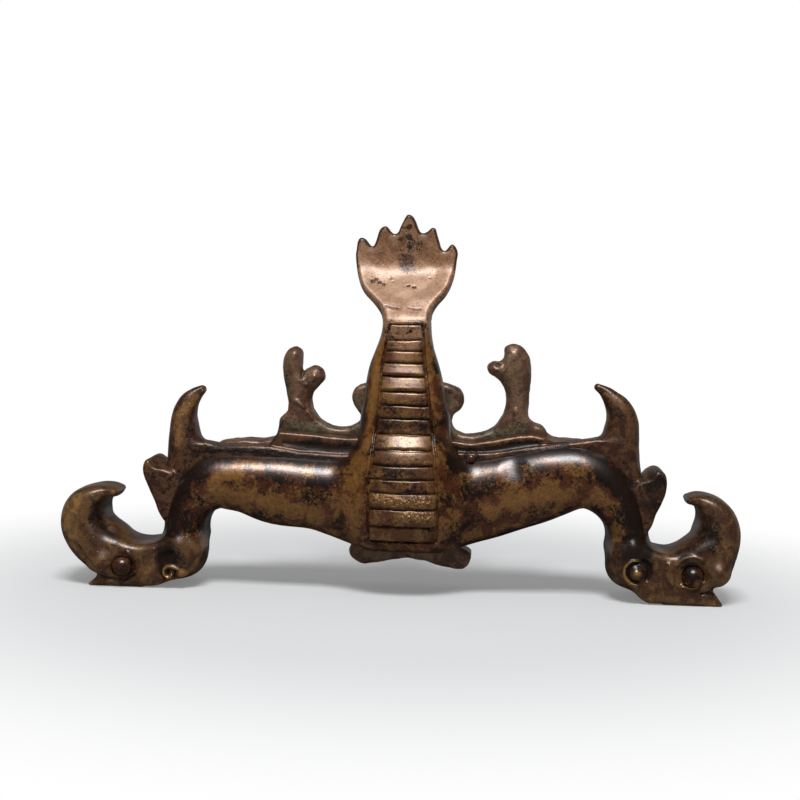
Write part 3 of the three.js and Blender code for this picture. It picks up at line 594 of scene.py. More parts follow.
RIGHT = SideForm(
    name="right",
    sign=1,
    foot=55.4,
    joint=14.5,
    crook=9.5,
    neck=(
        (-0.2, 22, 10.4), (0.02, 22.6, 10.8), (0.14, 23.5, 10.3), (0.38, 26.2, 9.7), (0.58, 28.5, 9.1),
        (0.72, 29.2, 8.3), (0.82, 28.1, 7.4), (0.905, 25, 6.4), (0.97, 20.6, 5.5), (1, 16, 4.9), (1, 8, 5.2),
    ),
    snout=Limb(
        (
            (15.4, 8.2, 4.6, 8.8), (18.9, 11.4, 5.9, 8.8), (20.3, 13.8, 6.0, 8.8), (20.9, 16.2, 5.7, 8.7),
            (20.6, 18.7, 5.5, 8.6), (20.0, 20.7, 4.9, 8.3), (18.9, 22.5, 3.9, 7.8), (17.5, 23.8, 2.8, 7.2),
            (16.2, 24.5, 1.8, 6.4), (15.1, 24.6, 1.0, 5.4), (14.2, 24.5, 0.5, 4.4),
        ),
        2.3,
        3.6,
    ),
    base=(5.0, 18.4),
    face=(
        (20.3, 3.7), (21.9, 5), (23.4, 6.8), (24.2, 9), (23.4, 12.6), (19.8, 15.4), (16, 14.8), (13.4, 13.2),
        (9.8, 12.2), (6, 12.8), (1.5, 14), (-2.6, 13.6), (-4.2, 11.2), (-3.2, 8.8), (-1.4, 6.6), (0.6, 4), (2.6, 1.4),
    ),
    jaw=((8, -1), (21.8, -1), (22.2, 0.5), (21.1, 2), (20, 3.5), (14, 5.4), (8, 4.6)),
    eye=(14.9, 7.2, 2.5),
    socket=2.54,
    horn=Limb(
        (
            (-2.8, 27.5, 5.3, 5.0), (-2.8, 33, 5.1, 5.0), (-2.6, 37, 4.6, 5.0), (-2.4, 40.5, 4.3, 4.8),
            (-2.5, 43.6, 3.8, 4.5), (-3.4, 46.2, 3.1, 4.0), (-5, 48.2, 2.2, 3.2), (-6.8, 49.9, 1.3, 2.3),
            (-8.4, 50.9, 0.35, 1.2),
        ),
        2.8,
        2.8,
    ),
    ear=(
        (0.8, 28.2), (3, 29.6), (4.3, 31), (6.2, 31.8), (7.8, 31.1), (8.4, 29.2), (8.2, 26.4), (7.3, 23.9),
        (6.1, 21.4), (5, 18), (3, 15.6), (0.8, 17), (-0.6, 21), (-0.4, 25),
    ),
    scoop=((3.3, -7.5, 31.4, 2.3), (2.6, 2.5, 34.2, 3.0)),
    ledge=((9, 34.6), (16, 34.7), (22.5, 34.9), (30, 36.1), (36, 36.9), (42, 37.8), (47, 38.6)),
    ridge=((9, 37.3), (13, 37.2), (17, 36.7), (22, 37.5), (28, 38.8), (31.5, 39.1), (34.6, 38.6), (36, 36.6)),
    crest_foot=29,
    marks=(
        # the dish round the eye, with painted shade in it; painted shade on the upper half of the bead and painted
        # light on its lower half; the brow over the eye and the swelling at the trunk's foot
        Mark(((14.6, 7.6, 4.3),), 1.1, -0.4, crisp=True), Mark(((14.4, 8.8, 2.4),), 0, -0.8),
        Mark(((15.6, 5.8, 1.4),), 0, 1.0),
        Mark(((9.2, 9.8, 1.0), (9.2, 7.6, 1.7), (10.0, 5.2, 1.0)), -0.6, 0.1),
        Mark(((10.8, 9.6, 0.7), (12.3, 11.2, 0.9), (14.3, 11.8, 1.0), (16.8, 11.2, 0.8)), -0.35, 0.1),
        Mark(((21.2, 7.6, 4.0),), -1.6, 0.1),
        # the thin lid at the bead's lower edge
        Mark(((12.4, 4.9, 0.4), (14.9, 4.6, 0.7), (17.2, 6.0, 0.5)), -0.6, 0.9),
        # the bevelled lip, and the seam of the mouth that runs round below the eye
        Mark(((24.6, 10.6, 1.1), (23.0, 8.0, 2.0), (21.4, 5.8, 1.8), (19.6, 4.2, 0.9)), 0.9, 0.5),
        Mark(((21.4, 3.9, 0.5), (19.2, 3.5, 0.7), (17.0, 3.2, 0.5)), 0.5, -0.5),
        # the curl: a boss with a hook-shaped groove and rim on its inner side, and a hollow on its outer side. The
        # hollow's dark tint is painted shade, and the rim's gold is rubbed and partly a painted highlight
        Mark(((3.0, 10.8, 0.5), (4.2, 9.8, 1.0), (4.7, 7.9, 1.1), (4.0, 6.2, 0.7)), 0.7, -0.55),
        Mark(((1.6, 7.7, 2.0),), -1.3, 1.5),
        Mark((
            (2.3, 10.0, 0.25), (0.7, 9.8, 0.4), (-0.4, 8.7, 0.45), (-0.4, 7.0, 0.45), (0.6, 5.9, 0.4), (2.0, 5.6, 0.3),
        ), 0.45, -0.6),
        Mark((
            (2.0, 10.7, 0.3), (0.2, 10.5, 0.5), (-1.2, 9.0, 0.55), (-1.2, 6.8, 0.55), (0.1, 5.2, 0.5), (1.8, 4.7, 0.35),
        ), -0.5, 1.4),
        # the swelling above the curl
        Mark(((0.9, 14.0, 2.2),), -0.4, 0.0),
        # colour only: the rubbed heel and jaw, the trunk's edge, painted shade on the trunk's face above the eye, and
        # the darker cheek
        Mark(((-4.4, 8.8, 1.2), (-0.6, 5.6, 1.6), (3.6, 2.2, 2.0), (12.0, 1.2, 1.4), (20.0, 1.0, 1.2)), 0, 0.5),
        Mark(((23.2, 22.0, 1.0), (25.2, 18.0, 1.1), (25.4, 14.4, 1.0)), 0, 0.4),
        Mark(((18.6, 20.4, 3.2), (18.4, 15.6, 3.6), (12.0, 12.4, 2.4)), 0, -0.6),
        Mark(((-3, 12, 3.4), (3, 14.4, 3.0)), 0, -0.35),
    ),
    neck_marks=(
        Mark(((48, 25.0, 3.2), (42, 25.8, 3.8), (32, 24.4, 4.0), (22, 22.0, 3.8)), 0, 0.5),
        Mark(((48, 32, 3.6), (54, 27, 5.0), (58, 18, 6.5), (57, 9, 6.5)), 0, -0.9),
        # painted shade on the neck's top beside the crest and on its underside
        Mark(((48, 35.8, 3.0), (34, 35.6, 2.8), (24, 33.6, 2.8), (14, 32.0, 2.8)), 0, -0.75),
        Mark(((47, 19.8, 3.0), (36, 16.8, 2.8), (26, 14.0, 2.8), (17, 11.6, 2.6)), 0, -0.55),
        Mark(((16, 26, 3.0), (17, 18, 2.4)), 0, -0.25),
        Mark(((27.5, 31, 4.0),), 0.5, -0.3),
    ),
    crest_marks=(
        # painted shade in the dark strip where the ledge meets the neck, over a rough texture
        Mark(((12, 31.6, 2.0), (20, 32.2, 1.5), (30, 34.6, 0.9), (40, 36.8, 0.8)), 0.25, -0.9, 1.1),
        # a painted highlight along the top edge of the ridge, then a darkened groove along the ledge
        Mark(((10, 37.1, 0.4), (17, 36.5, 0.5), (24, 37.6, 0.5), (31, 38.8, 0.5), (34.4, 38.4, 0.4)), 0, 0.25),
        Mark(((12, 35.0, 1.0), (20, 35.0, 1.1), (28, 36.6, 1.2), (33, 37.2, 0.8)), 0.35, -0.6),
        Mark(((48.6, 49.6, 0.9), (52.6, 47.0, 1.2), (54.8, 42.6, 1.1)), 0, 0.4),
        Mark(((60, 22, 4.0), (61, 29, 3.0)), 0, -0.5),
        # the ring cut round the small rivet
        Mark((
            (18.9, 33.5, 0.3), (17.3, 35.1, 0.3), (15.7, 33.5, 0.3), (17.3, 31.9, 0.3), (18.9, 33.5, 0.3),
        ), 0.3, -0.6),
    ),
)
SIDES = (LEFT, RIGHT)


@dataclass(frozen=True)
class BellyForm:
    """Belly and stalk. Section rows hold height, half width, front face, half width of the scute panel and middle."""

    sections: Rows = (
        (10.8, 9.4, -8.6, 6.6, 1.6), (11.3, 11, -10.9, 7.2, 1.6), (12.6, 12.6, -12.4, 7.6, 1.6),
        (15, 13.6, -13.7, 8, 1.5), (18.5, 14, -14.7, 8.2, 1.5), (22, 14, -15, 8.2, 1.4), (26, 13.6, -14.8, 8.1, 1.3),
        (30, 12.9, -14.2, 7.8, 1.2), (34, 12, -13, 7.3, 1.2), (36.5, 11.4, -11.6, 7, 1.1), (39.1, 11, -9.9, 6.7, 1.1),
        (41, 10.9, -9.45, 6.4, 1.1), (44, 10.6, -9.25, 6.2, 1.1), (47.3, 9.9, -9.05, 5.9, 0.9),
        (50.5, 9.35, -7.95, 5.6, 0.7), (53.4, 8.75, -6.8, 5.3, 0.55), (55.6, 8.15, -6.1, 5, 0.5),
        (60, 6.6, -5.7, 4.5, 0.6), (63, 5.7, -5.3, 4.1, 0.8), (65, 5.4, -4.9, 3.8, 0.9), (67, 5.4, -4.4, 3.8, 0.9),
    )
    power: float = 2.5
    scutes: tuple[float, ...] = (3.7, 4.3, 3.8, 3.1, 3.2, 3.5, 3.6, 3.6, 3.1, 3.3, 3.6, 3.1, 2.8, 2.6, 3.8)
    pocket_depth: float = 0.6
    groove: float = 0.3
    marks: tuple[Mark, ...] = (
        # the rubbed band beside the panel and the broad one below it; painted shade on the dark shoulders and the right
        # flank
        Mark(((-5.0, 61, 1.4), (-6.0, 55, 1.6), (-6.6, 48, 1.6), (-7.2, 41, 1.5), (-8, 36, 1.8)), 0, 0.75),
        Mark(((-9.6, 32, 3), (-10.4, 25, 4), (-10.4, 16, 4)), 0, 0.55),
        Mark(((6.2, 61, 1.2), (6.6, 57, 1.3), (7.2, 52, 1.2), (8.2, 44, 1.0)), 0, 0.5),
        Mark(((12.4, 44, 2.6), (13.4, 32, 3.0)), 0, -0.4), Mark(((11.8, 19, 2.6),), 0, 0.35),
        Mark(((-11.0, 37, 3.4), (-10.0, 44, 2.5), (-9.2, 51, 1.6)), 0, -0.9),
        # worn coppery top, dull middle, and crackled belly plates whose paler tint partly paints the sheen of their
        # glints;
        # a painted highlight across the bright band where the belly turns up
        Mark(((0.8, 65.5, 10.0),), copper=1.5), Mark(((0.7, 57, 4.8),), 0, 0.4, copper=0.6),
        Mark(((-4, 41, 2.6), (6, 41, 2.6)), 0, -0.6), Mark(((-2, 30.6, 2.4), (6, 30.4, 2.4)), 0, -0.4),
        Mark(((-5, 23.8, 2.6), (1.4, 23.8, 2.6), (7.8, 23.6, 2.6)), 0, 0.4, 1.8),
        Mark(((2, 19.7, 2.4), (8, 19.9, 2.6)), 0, 0.5, 1.8), Mark(((-4.5, 19.6, 2.4),), 0, 0.2, 1.0),
        Mark(((1.2, 37.6, 6.0),), 0, 0.4, 0.3),
    )

    def middle(self, z: Array) -> Array:
        """The body's middle line at a height."""
        return through(self.sections, z, 4)

    def panel(self, z: Array) -> Array:
        """Half width of the scute panel at a height."""
        return through(self.sections, z, 3)

    def lines(self) -> list[float]:
        """Heights of the lines between the scutes, from the lowest to the waist."""
        heights = SCUTE_FOOT + np.cumsum((0.0, *self.scutes)) * (WAIST - SCUTE_FOOT) / sum(self.scutes)
        return [float(z) for z in heights]

    def field(self, x: Array, y: Array, z: Array) -> Array:
        """Signed distance to belly and stalk without their panel."""
        half = through(self.sections, z, 1)
        deep = BODY_MIDDLE - through(self.sections, z, 2)
        across = np.abs(x - self.middle(z)) / half
        ahead = np.maximum(BODY_MIDDLE - y, 0) / deep
        side = squircle(across, ahead, half, deep, self.power)
        side = meet(side, y - BODY_REAR - 0.5, 1.6)
        side = meet(side, z - WAIST - 1.6, 2.0)
        return meet(side, BELLY_BOTTOM - z, 1.0)

    def pocket(self, form: Array, x: Array, y: Array, z: Array) -> Array:
        """Sink the scute panel into a form, given as its signed distance."""
        beside = self.panel(z) + self.groove - np.abs(x - self.middle(z))
        within = np.minimum(np.minimum(beside, z - SCUTE_FOOT + self.groove), np.minimum(WAIST - z, -4 - y))
        return np.maximum(form, np.minimum(within, form + self.pocket_depth))


@dataclass(frozen=True)
class FanForm:
    """The tail fan, a dished sheet that leans back and curls up again."""

    lean: Rows = ((-4, -15), (-1, -12), (0.4, 14), (2.5, 36), (8, 39), (14.5, 37), (18, 16), (21, 0), (29.5, -12))
    edge: Rows = (
        (-0.995, 20.7), (-0.972, 22.5), (-0.915, 23.6), (-0.82, 23.3), (-0.755, 22.4), (-0.69, 21.7), (-0.644, 21.9),
        (-0.6, 23.3), (-0.564, 25.1), (-0.516, 26.1), (-0.42, 26.6), (-0.357, 26.1), (-0.293, 25.2), (-0.245, 24.9),
        (-0.188, 25.3), (-0.143, 26.7), (-0.07, 28.5), (-0.01, 29.4), (0.035, 29.5), (0.105, 29.1), (0.169, 27.9),
        (0.217, 26.3), (0.265, 25.3), (0.312, 25.1), (0.392, 25.5), (0.488, 26.4), (0.551, 26.1), (0.583, 24.9),
        (0.631, 23.1), (0.679, 21.6), (0.733, 21.1), (0.775, 21.4), (0.87, 22.6), (0.934, 22.2), (0.985, 21.1),
        (1, 20.4),
    )
    spread: Rows = (
        (-4, 5.2), (-1, 5.4), (0, 5.4), (2.5, 5.4), (4.3, 5.8), (5.8, 6.6), (7.3, 7.7), (9, 9), (10.5, 10),
        (12.5, 10.9), (14.5, 11.5), (17, 12.1), (20, 12.5), (22, 12.6),
    )
    thick: float = 3.2
    dish: float = 0.6
    middle: float = 0.9
    marks: tuple[Mark, ...] = (
        # pits, hairlines and dark patches in the lobes
        Mark(((-7.9, 12.8, 0.6),), 0.4, -3, crisp=True), Mark(((-7.1, 13.5, 0.5),), 0.35, -3, crisp=True),
        Mark(((-6.3, 12.6, 0.55),), 0.4, -3, crisp=True), Mark(((-5.3, 12.0, 0.5),), 0.35, -3, crisp=True),
        Mark(((0.8, 11.6, 0.5),), 0.3, -3, crisp=True), Mark(((2.2, 11.2, 0.55),), 0.35, -3, crisp=True),
        Mark(((-3.6, 14.0, 0.4),), 0.2, -2), Mark(((-3.0, 12.9, 0.4),), 0.2, -2), Mark(((5.9, 14.2, 0.4),), 0.2, -2),
        Mark(((-5.0, 5.0, 0.2), (-3.4, 4.4, 0.28), (-1.8, 4.1, 0.2)), 0.2, -3),
        Mark(((0.6, 4.5, 0.2), (2.2, 4.1, 0.28), (3.6, 4.2, 0.2)), 0.2, -3),
        Mark(((-1.6, 23.6, 0.6),), 0.0, -1.6), Mark(((0.5, 24.2, 0.9),), 0.1, -1.8),
        # painted shade on the middle of the fan below the lobes, which faces away from the lamp, and dark patches in
        # the middle lobe
        Mark(((-5, 20.0, 4), (0, 21.5, 5), (6, 20.0, 4)), 0, -0.3), Mark(((0.4, 17.0, 4.4),), 0, -0.6),
        Mark(((0.0, 26.6, 0.9), (0.8, 26.8, 0.9)), 0, -0.9), Mark(((-0.9, 26.5, 0.6),), 0, -0.8),
        # rubbed pale in the middle of the dish and along the sides, and painted highlights at the feet of the lobes
        Mark(((-6, 13, 8), (0, 8, 9), (6, 13, 8)), 0, 0.6),
        Mark(((-11.9, 20, 1.0), (-11.2, 14.5, 1.2), (-8.6, 9.4, 1.2), (-5.6, 5.0, 1.0)), 0, 0.4),
        Mark(((-9.6, 20.9, 0.8), (-8.4, 20.7, 0.8)), 0, 0.9), Mark(((-3.9, 24.1, 0.7), (-2.6, 24.2, 0.7)), 0, 0.9),
        Mark(((3.2, 24.3, 0.7), (4.6, 24.6, 0.7)), 0, 0.9), Mark(((8.6, 20.3, 0.8), (9.8, 20.4, 0.8)), 0, 0.9),
    )

    @staticmethod
    @lru_cache(maxsize=None)
    def line(lean: Rows) -> Array:
        """The fan's middle line in side view, from below the waist to above the lobes: y and z for each length."""
        step = 0.5
        lengths = np.arange(-4, 34, step)
        turn = np.radians(through(lean, lengths + step / 2))
        y = np.concatenate([[0.0], np.cumsum(step * np.sin(turn))])[:-1]
        z = np.concatenate([[0.0], np.cumsum(step * np.cos(turn))])[:-1]
        start = int(round(4 / step))
        return np.stack([y - y[start] - 4.9, z - z[start] + WAIST, lengths], axis=1)

    @staticmethod
    @lru_cache(maxsize=None)
    def outline(edge: Rows, spread: Rows) -> Array:
        """The fan's flat outline: place across, and length along the fan."""
        lengths = np.arange(-4, 20.2, 0.8)
        halves = through(spread, lengths)
        lobes = smooth_line(tuple((share * 12.5, length) for share, length in edge), 3)
        left = np.stack([-halves, lengths], axis=1)
        right = np.stack([halves, lengths], axis=1)[::-1]
        return np.vstack([left, lobes, right])

    def flat(self, x: Array, y: Array, z: Array) -> tuple[Array, Array, Array]:
        """Unroll places round the fan into place across it, length along it and distance behind its front."""
        line = self.line(self.lean)
        gap, place, side = nearest(line, y, z)
        length = np.interp(place, np.arange(len(line)), line[:, 2])
        across = x - self.middle * (1 - ease(length, 0, 12))
        return across, length, -gap * side

    def field(self, x: Array, y: Array, z: Array) -> Array:
        """Signed distance to the fan."""
        across, length, depth = self.flat(x, y, z)
        edge = outline_distance(self.outline(self.edge, self.spread), across, length)
        full = ease(length, 0, 8)
        dish = self.dish * ease(length, 1, 13) * ease(-edge, 0.2, 5.0)
        thick = 6.4 + (self.thick - 6.4) * full - 0.7 * ease(length, 18, 29)
        middle = (dish + thick) / 2
        face = np.abs(depth - middle) - (thick - dish) / 2
        face = face + sunk(self.marks, across, length) * (depth < middle)
        return meet(edge, face, 0.9)


@dataclass(frozen=True)
class PlateForm:
    """The rough plate behind the dragon. Edge rows are distance from the middle and height."""

    left: Rows = (
        (8.2, 5.6), (11.6, 7), (12.2, 9.3), (11.2, 11.5), (11.2, 20), (11.4, 28), (20, 29.5), (32, 30.5),
        (41, 29.8), (45.4, 30.6), (46.6, 32.8), (45, 34.4), (42, 35), (38.8, 35.4), (34.5, 35.3), (31, 36.4),
        (30.2, 38.6), (30, 40.7), (29.2, 41.7), (28.1, 43), (29, 49), (29.7, 53.5), (29.4, 56), (28.3, 57.8),
        (26.6, 58.5), (25.2, 57.6), (24.8, 55.6), (24.7, 52.6), (23.4, 53.3), (21.6, 53.9), (19.8, 53), (19.3, 51),
        (20.6, 48.9), (22.1, 47), (22.4, 45), (21.6, 42.2), (19.7, 40.2), (17, 39), (14, 38.8), (11.2, 39.9),
        (9.9, 41.8), (11.6, 44.4), (12.3, 46.6), (11.5, 48.9), (9.3, 49.9), (7.2, 51), (5.2, 54.5),
    )
    right: Rows = (
        (13.9, 5), (16.8, 5.6), (17.7, 8.8), (15, 10.6), (13.8, 12.5), (13.8, 20), (14.2, 28.5), (20, 30),
        (32, 31.4), (41, 32.2), (45.6, 33), (47, 35.2), (45.2, 37), (41.6, 37.6), (37.4, 37.7), (35.6, 38.8),
        (34.4, 40.5), (32, 41.3), (30.8, 42.8), (30.8, 46.6), (31.1, 52), (31, 55.4), (30, 58.5), (28.3, 60.1),
        (26.3, 60.5), (24.6, 59.6), (24.3, 57.2), (23.3, 56.2), (21.7, 56.1), (20.4, 54.9), (20.9, 53.2),
        (23, 51.9), (24.6, 49.9), (25.2, 47.4), (24.9, 44.4), (24, 41.8), (22.2, 39.8), (19.3, 38.4), (16.3, 37.9),
        (13.6, 38.6), (12.2, 40.4), (12.5, 42.8), (14.2, 44.4), (15, 46.4), (14.2, 48.6), (12, 49.9), (8.2, 51),
        (5.8, 54.5),
    )
    saddle: tuple[float, float] = (2.3, 7.4)
    tongue: tuple[float, float] = (0.5, 57.5)
    marks: tuple[Mark, ...] = (
        # the crease between the two lobes of each peg, and the lumps of the casting
        Mark(((-24.5, 53.6, 0.5), (-24.6, 52.0, 0.7), (-25.0, 50.8, 0.3)), 1.4, -0.9),
        Mark(((-21.6, 51.4, 1.2), (-22.6, 50.4, 0.8)), -0.3, 0.3),
        Mark(((-24.8, 50.2, 0.7),), -0.4, 0.3, 0.5), Mark(((-23.6, 49.4, 0.6),), -0.35, 0.2, 0.5),
        Mark(((-26.2, 45.4, 0.8), (-24.8, 44.6, 0.9), (-24.0, 43.8, 0.6)), -0.45, 0.3, 0.5),
        Mark(((-22.9, 42.6, 0.4), (-22.0, 41.2, 0.4)), -0.35, 0.2, 0.5),
        Mark(((23.0, 55.4, 0.55),), 1.1, -0.7),
        Mark(((22.6, 56.2, 0.4), (24.0, 55.6, 0.4), (23.4, 54.4, 0.4)), -0.4, 0.6),
        Mark(((25.6, 57.6, 0.5), (25.2, 55.6, 0.6), (24.0, 53.4, 0.4)), -0.5, 0.3),
        Mark(((27.4, 44.4, 1.3),), -0.3, 0.35, 0.4), Mark(((26.6, 57, 4.6), (27.6, 47, 4.0)), 0, 0.4),
        # painted highlights on the tops of the two pegs, over small raised lumps
        Mark(((26.4, 58.4, 1.4),), -0.2, 0.6),
        Mark(((-26.6, 56.4, 1.5),), -0.2, 0.5),
        # verdigris along the notches
        Mark(((-29, 40, 2.0), (-20, 39.2, 2.6), (-11, 39.4, 2.4)), 0, -0.1, 0.4, 0.6),
        Mark(((30, 40.6, 2.2), (20, 38.8, 2.4), (12, 39.6, 2.6)), 0, -0.1, 0.4, 0.6),
        Mark(((-11.4, 46.4, 2.4),), 0, -0.2, 0.3, 0.8), Mark(((14.2, 46.4, 2.2),), 0, -0.6, 0.2, 0.3),
    )

    @property
    def outline(self) -> Rows:
        """The whole outline as x and z."""
        right = self.right
        left = tuple((-x, z) for x, z in self.left[::-1])
        return (self.saddle, *right, self.tongue, *left)

    def field(self, x: Array, y: Array, z: Array) -> Array:
        """Signed distance to the plate, whose pegs are rounder than its foot."""
        edge = outline_distance(smooth_line(self.outline, 3, True), x, z)
        face = np.maximum(PLATE_FRONT - y, y - PLATE_REAR)
        radius = 1.1 + 2.1 * ease(z, 41, 46) * ease(np.abs(x), 16, 19)
        return meet(edge, face + sunk(self.marks, x, z) * (y < 6), radius)


BELLY = BellyForm()
FAN = FanForm()
PLATE = PlateForm()
SHOULDER_FILLET = 6.0
WAIST_FILLET = 2.0


def near(form: Field, column: int, low: float, high: float) -> Field:
    """A form worked out only between two limits, and taken as far away elsewhere.

    Args:
        form: The form's signed distance.
        column: 0 to limit x, or 2 to limit heights.
        low: The lower limit.
        high: The upper limit.

    Returns:
        The quicker signed distance, which is the same within the limits.
    """
    far = 20.0

    def quick(x: Array, y: Array, z: Array) -> Array:
        """Signed distance, or far beyond the limits."""
        place = (x, y, z)
        inside = (place[column] > low) & (place[column] < high)
        if x.ndim == 1:
            found = np.full(x.shape, far)
            if inside.any():
                found[inside] = form(x[inside], y[inside], z[inside])
            return found
        found = np.full(np.broadcast_shapes(x.shape, y.shape, z.shape), far)
        chosen = inside.ravel()
        if chosen.any():
            if column == 0:
                found[chosen] = form(x[chosen], y, z)
            else:
                found[:, :, chosen] = form(x, y, z[:, :, chosen])
        return found

    return quick


def casting(*parts: SideForm | BellyForm | FanForm) -> Field:
    """The casting's signed distance near some of its parts, which flow into each other.

    Args:
        parts: The parts that reach the places asked for.

    Returns:
        A function of places along the rest, from front to back, and heights.
    """
    belly = [part.field for part in parts if isinstance(part, BellyForm)]
    sides = [near(part.casting_field, 2, *NECK_HEIGHTS) for part in parts if isinstance(part, SideForm)]
    fans = [near(part.field, 2, *FAN_HEIGHTS) for part in parts if isinstance(part, FanForm)]

    def form(x: Array, y: Array, z: Array) -> Array:
        """Signed distance to the joined parts."""
        whole: Array | None = None
        joints = [(limb, 0.0) for limb in belly] + [(limb, SHOULDER_FILLET) for limb in sides]
        for limb, fillet in joints + [(limb, WAIST_FILLET) for limb in fans]:
            found = limb(x, y, z)
            whole = found if whole is None else join(whole, found, fillet)
        return whole

    return form


# Skins: a form's surface as a mesh, on one lattice that all castings share


@dataclass
class Block:
    """A block of the lattice with a value at each of its points."""

    low: Array
    step: float
    values: Array

    @staticmethod
    def axes(box: Rows, step: float) -> tuple[Array, tuple[Array, Array, Array]]:
        """The first lattice point of a box, and its three axes ready to be combined."""
        low = np.floor(np.asarray(box[0]) / step).astype(int)
        high = np.ceil(np.asarray(box[1]) / step).astype(int)
        x, y, z = (np.arange(a, b + 1) * step for a, b in zip(low, high))
        return low, (x[:, None, None], y[None, :, None], z[None, None, :])

    @classmethod
    def of(cls, form: Field, box: Rows, step: float) -> "Block":
        """Fill the block over a box with a form's signed distance."""
        low, (x, y, z) = cls.axes(box, step)
        values = np.broadcast_to(form(x, y, z), (x.size, y.size, z.size)).astype(float)
        return cls(low, step, np.where(np.abs(values) < 1e-6, 1e-6, values))

    def read(self, grid: Array, points: Array) -> Array:
        """Read a grid of the block's shape smoothly at points."""
        place = points / self.step - self.low
        cell = np.clip(np.floor(place).astype(int), 0, np.array(grid.shape) - 2)
        total = np.zeros(len(points))
        for corner, weight in cell_corners(np.clip(place - cell, 0, 1)):
            total += weight * grid[tuple((cell + corner).T)]
        return total

    def slopes(self, points: Array) -> Array:
        """The direction of steepest rise at points, by length of the rise."""
        return np.stack([self.read(grid, points) for grid in np.gradient(self.values, self.step)], axis=1)


@dataclass
class Skin:
    """A surface of four-sided faces, with the lattice place that each face belongs to."""

    points: Array
    quads: Array
    keys: Array
    normals: Array = field(default_factory=lambda: np.zeros((0, 3)))

    @classmethod
    def of(cls, form: Field, box: Rows, step: float) -> "Skin":
        """Wrap a form's surface.

        Args:
            form: The form's signed distance.
            box: Lowest and highest corner of the space to look in.
            step: Distance between lattice points.

        Returns:
            The surface, with its points on the form.
        """
        block = Block.of(form, box, step)
        solid = block.values < 0
        size = np.array(solid.shape)
        count = np.zeros(size - 1, np.int8)
        for i, j, k in np.ndindex(2, 2, 2):
            count += solid[i : size[0] - 1 + i, j : size[1] - 1 + j, k : size[2] - 1 + k]
        mixed = (count > 0) & (count < 8)
        cells = np.argwhere(mixed)
        number = np.full(mixed.shape, -1)
        number[mixed] = np.arange(len(cells))
        total, hits = np.zeros((len(cells), 3)), np.zeros(len(cells))
        for axis in range(3):
            for pair in np.ndindex(2, 2):
                start = cells + np.insert(pair, axis, 0)
                a = block.values[tuple(start.T)]
                b = block.values[tuple((cells + np.insert(pair, axis, 1)).T)]
                crossed = (a < 0) != (b < 0)
                place = start.astype(float)
                place[:, axis] += np.where(crossed, a / np.where(crossed, a - b, 1), 0)
                total += place * crossed[:, None]
                hits += crossed
        points = (total / hits[:, None] + block.low) * step
        quads, keys = cls.faces(solid, number)
        made = cls(points, quads, (keys + block.low) * step)
        for _ in range(2):
            slope = block.slopes(made.points)
            off = form(*made.points.T) / np.maximum((slope**2).sum(axis=1), 0.05)
            made.points -= np.clip(off, -0.5 * step, 0.5 * step)[:, None] * slope
        return made

    @staticmethod
    def faces(solid: Array, number: Array) -> tuple[Array, Array]:
        """One face round each lattice edge that leaves the form, turned outward.

        Args:
            solid: Whether each lattice point is inside the form.
            number: The number of the surface point in each cell.

        Returns:
            The faces, and the middle of each one's lattice edge.
        """
        quads, keys = [], []
        for axis in range(3):
            ahead = np.roll(solid, -1, axis)
            edges = np.argwhere((solid != ahead) & (np.indices(solid.shape)[axis] < solid.shape[axis] - 1))
            u, v = (axis + 1) % 3, (axis + 2) % 3
            inner = np.all((edges[:, (u, v)] > 0) & (edges[:, (u, v)] < np.array(solid.shape)[[u, v]] - 1), axis=1)
            edges = edges[inner]
            corners = []
            for du, dv in ((-1, -1), (0, -1), (0, 0), (-1, 0)):
                cell = edges.copy()
                cell[:, u] += du
                cell[:, v] += dv
                corners.append(number[tuple(cell.T)])
            quad = np.stack(corners, axis=1)
            leaving = solid[tuple(edges.T)]
            quads.append(np.where(leaving[:, None], quad, quad[:, ::-1]))
            key = edges.astype(float)
            key[:, axis] += 0.5
            keys.append(key)
        return np.vstack(quads), np.vstack(keys)

    def find_normals(self) -> None:
        """Work out the normal at each point from all faces round it."""
        a, b, c, d = (self.points[self.quads[:, i]] for i in range(4))
        facing = np.cross(c - a, d - b)
        total = np.zeros_like(self.points)
        for i in range(4):
            for axis in range(3):
                total[:, axis] += np.bincount(self.quads[:, i], facing[:, axis], len(total))
        self.normals = total / np.maximum(np.linalg.norm(total, axis=1, keepdims=True), 1e-12)

    def displace(self, rise: Callable[[Array], Array]) -> None:
        """Move every point along its normal by a distance that depends on its place."""
        self.find_normals()
        self.points += self.normals * rise(self.points)[:, None]
        self.find_normals()

    def only(self, chosen: Array) -> "Skin":
        """The part of the surface whose faces are chosen, with its normals as they were."""
        quads = self.quads[chosen]
        used, fresh = np.unique(quads, return_inverse=True)
        return Skin(self.points[used], fresh.reshape(quads.shape), self.keys[chosen], self.normals[used])


# What every piece knows about the whole rest


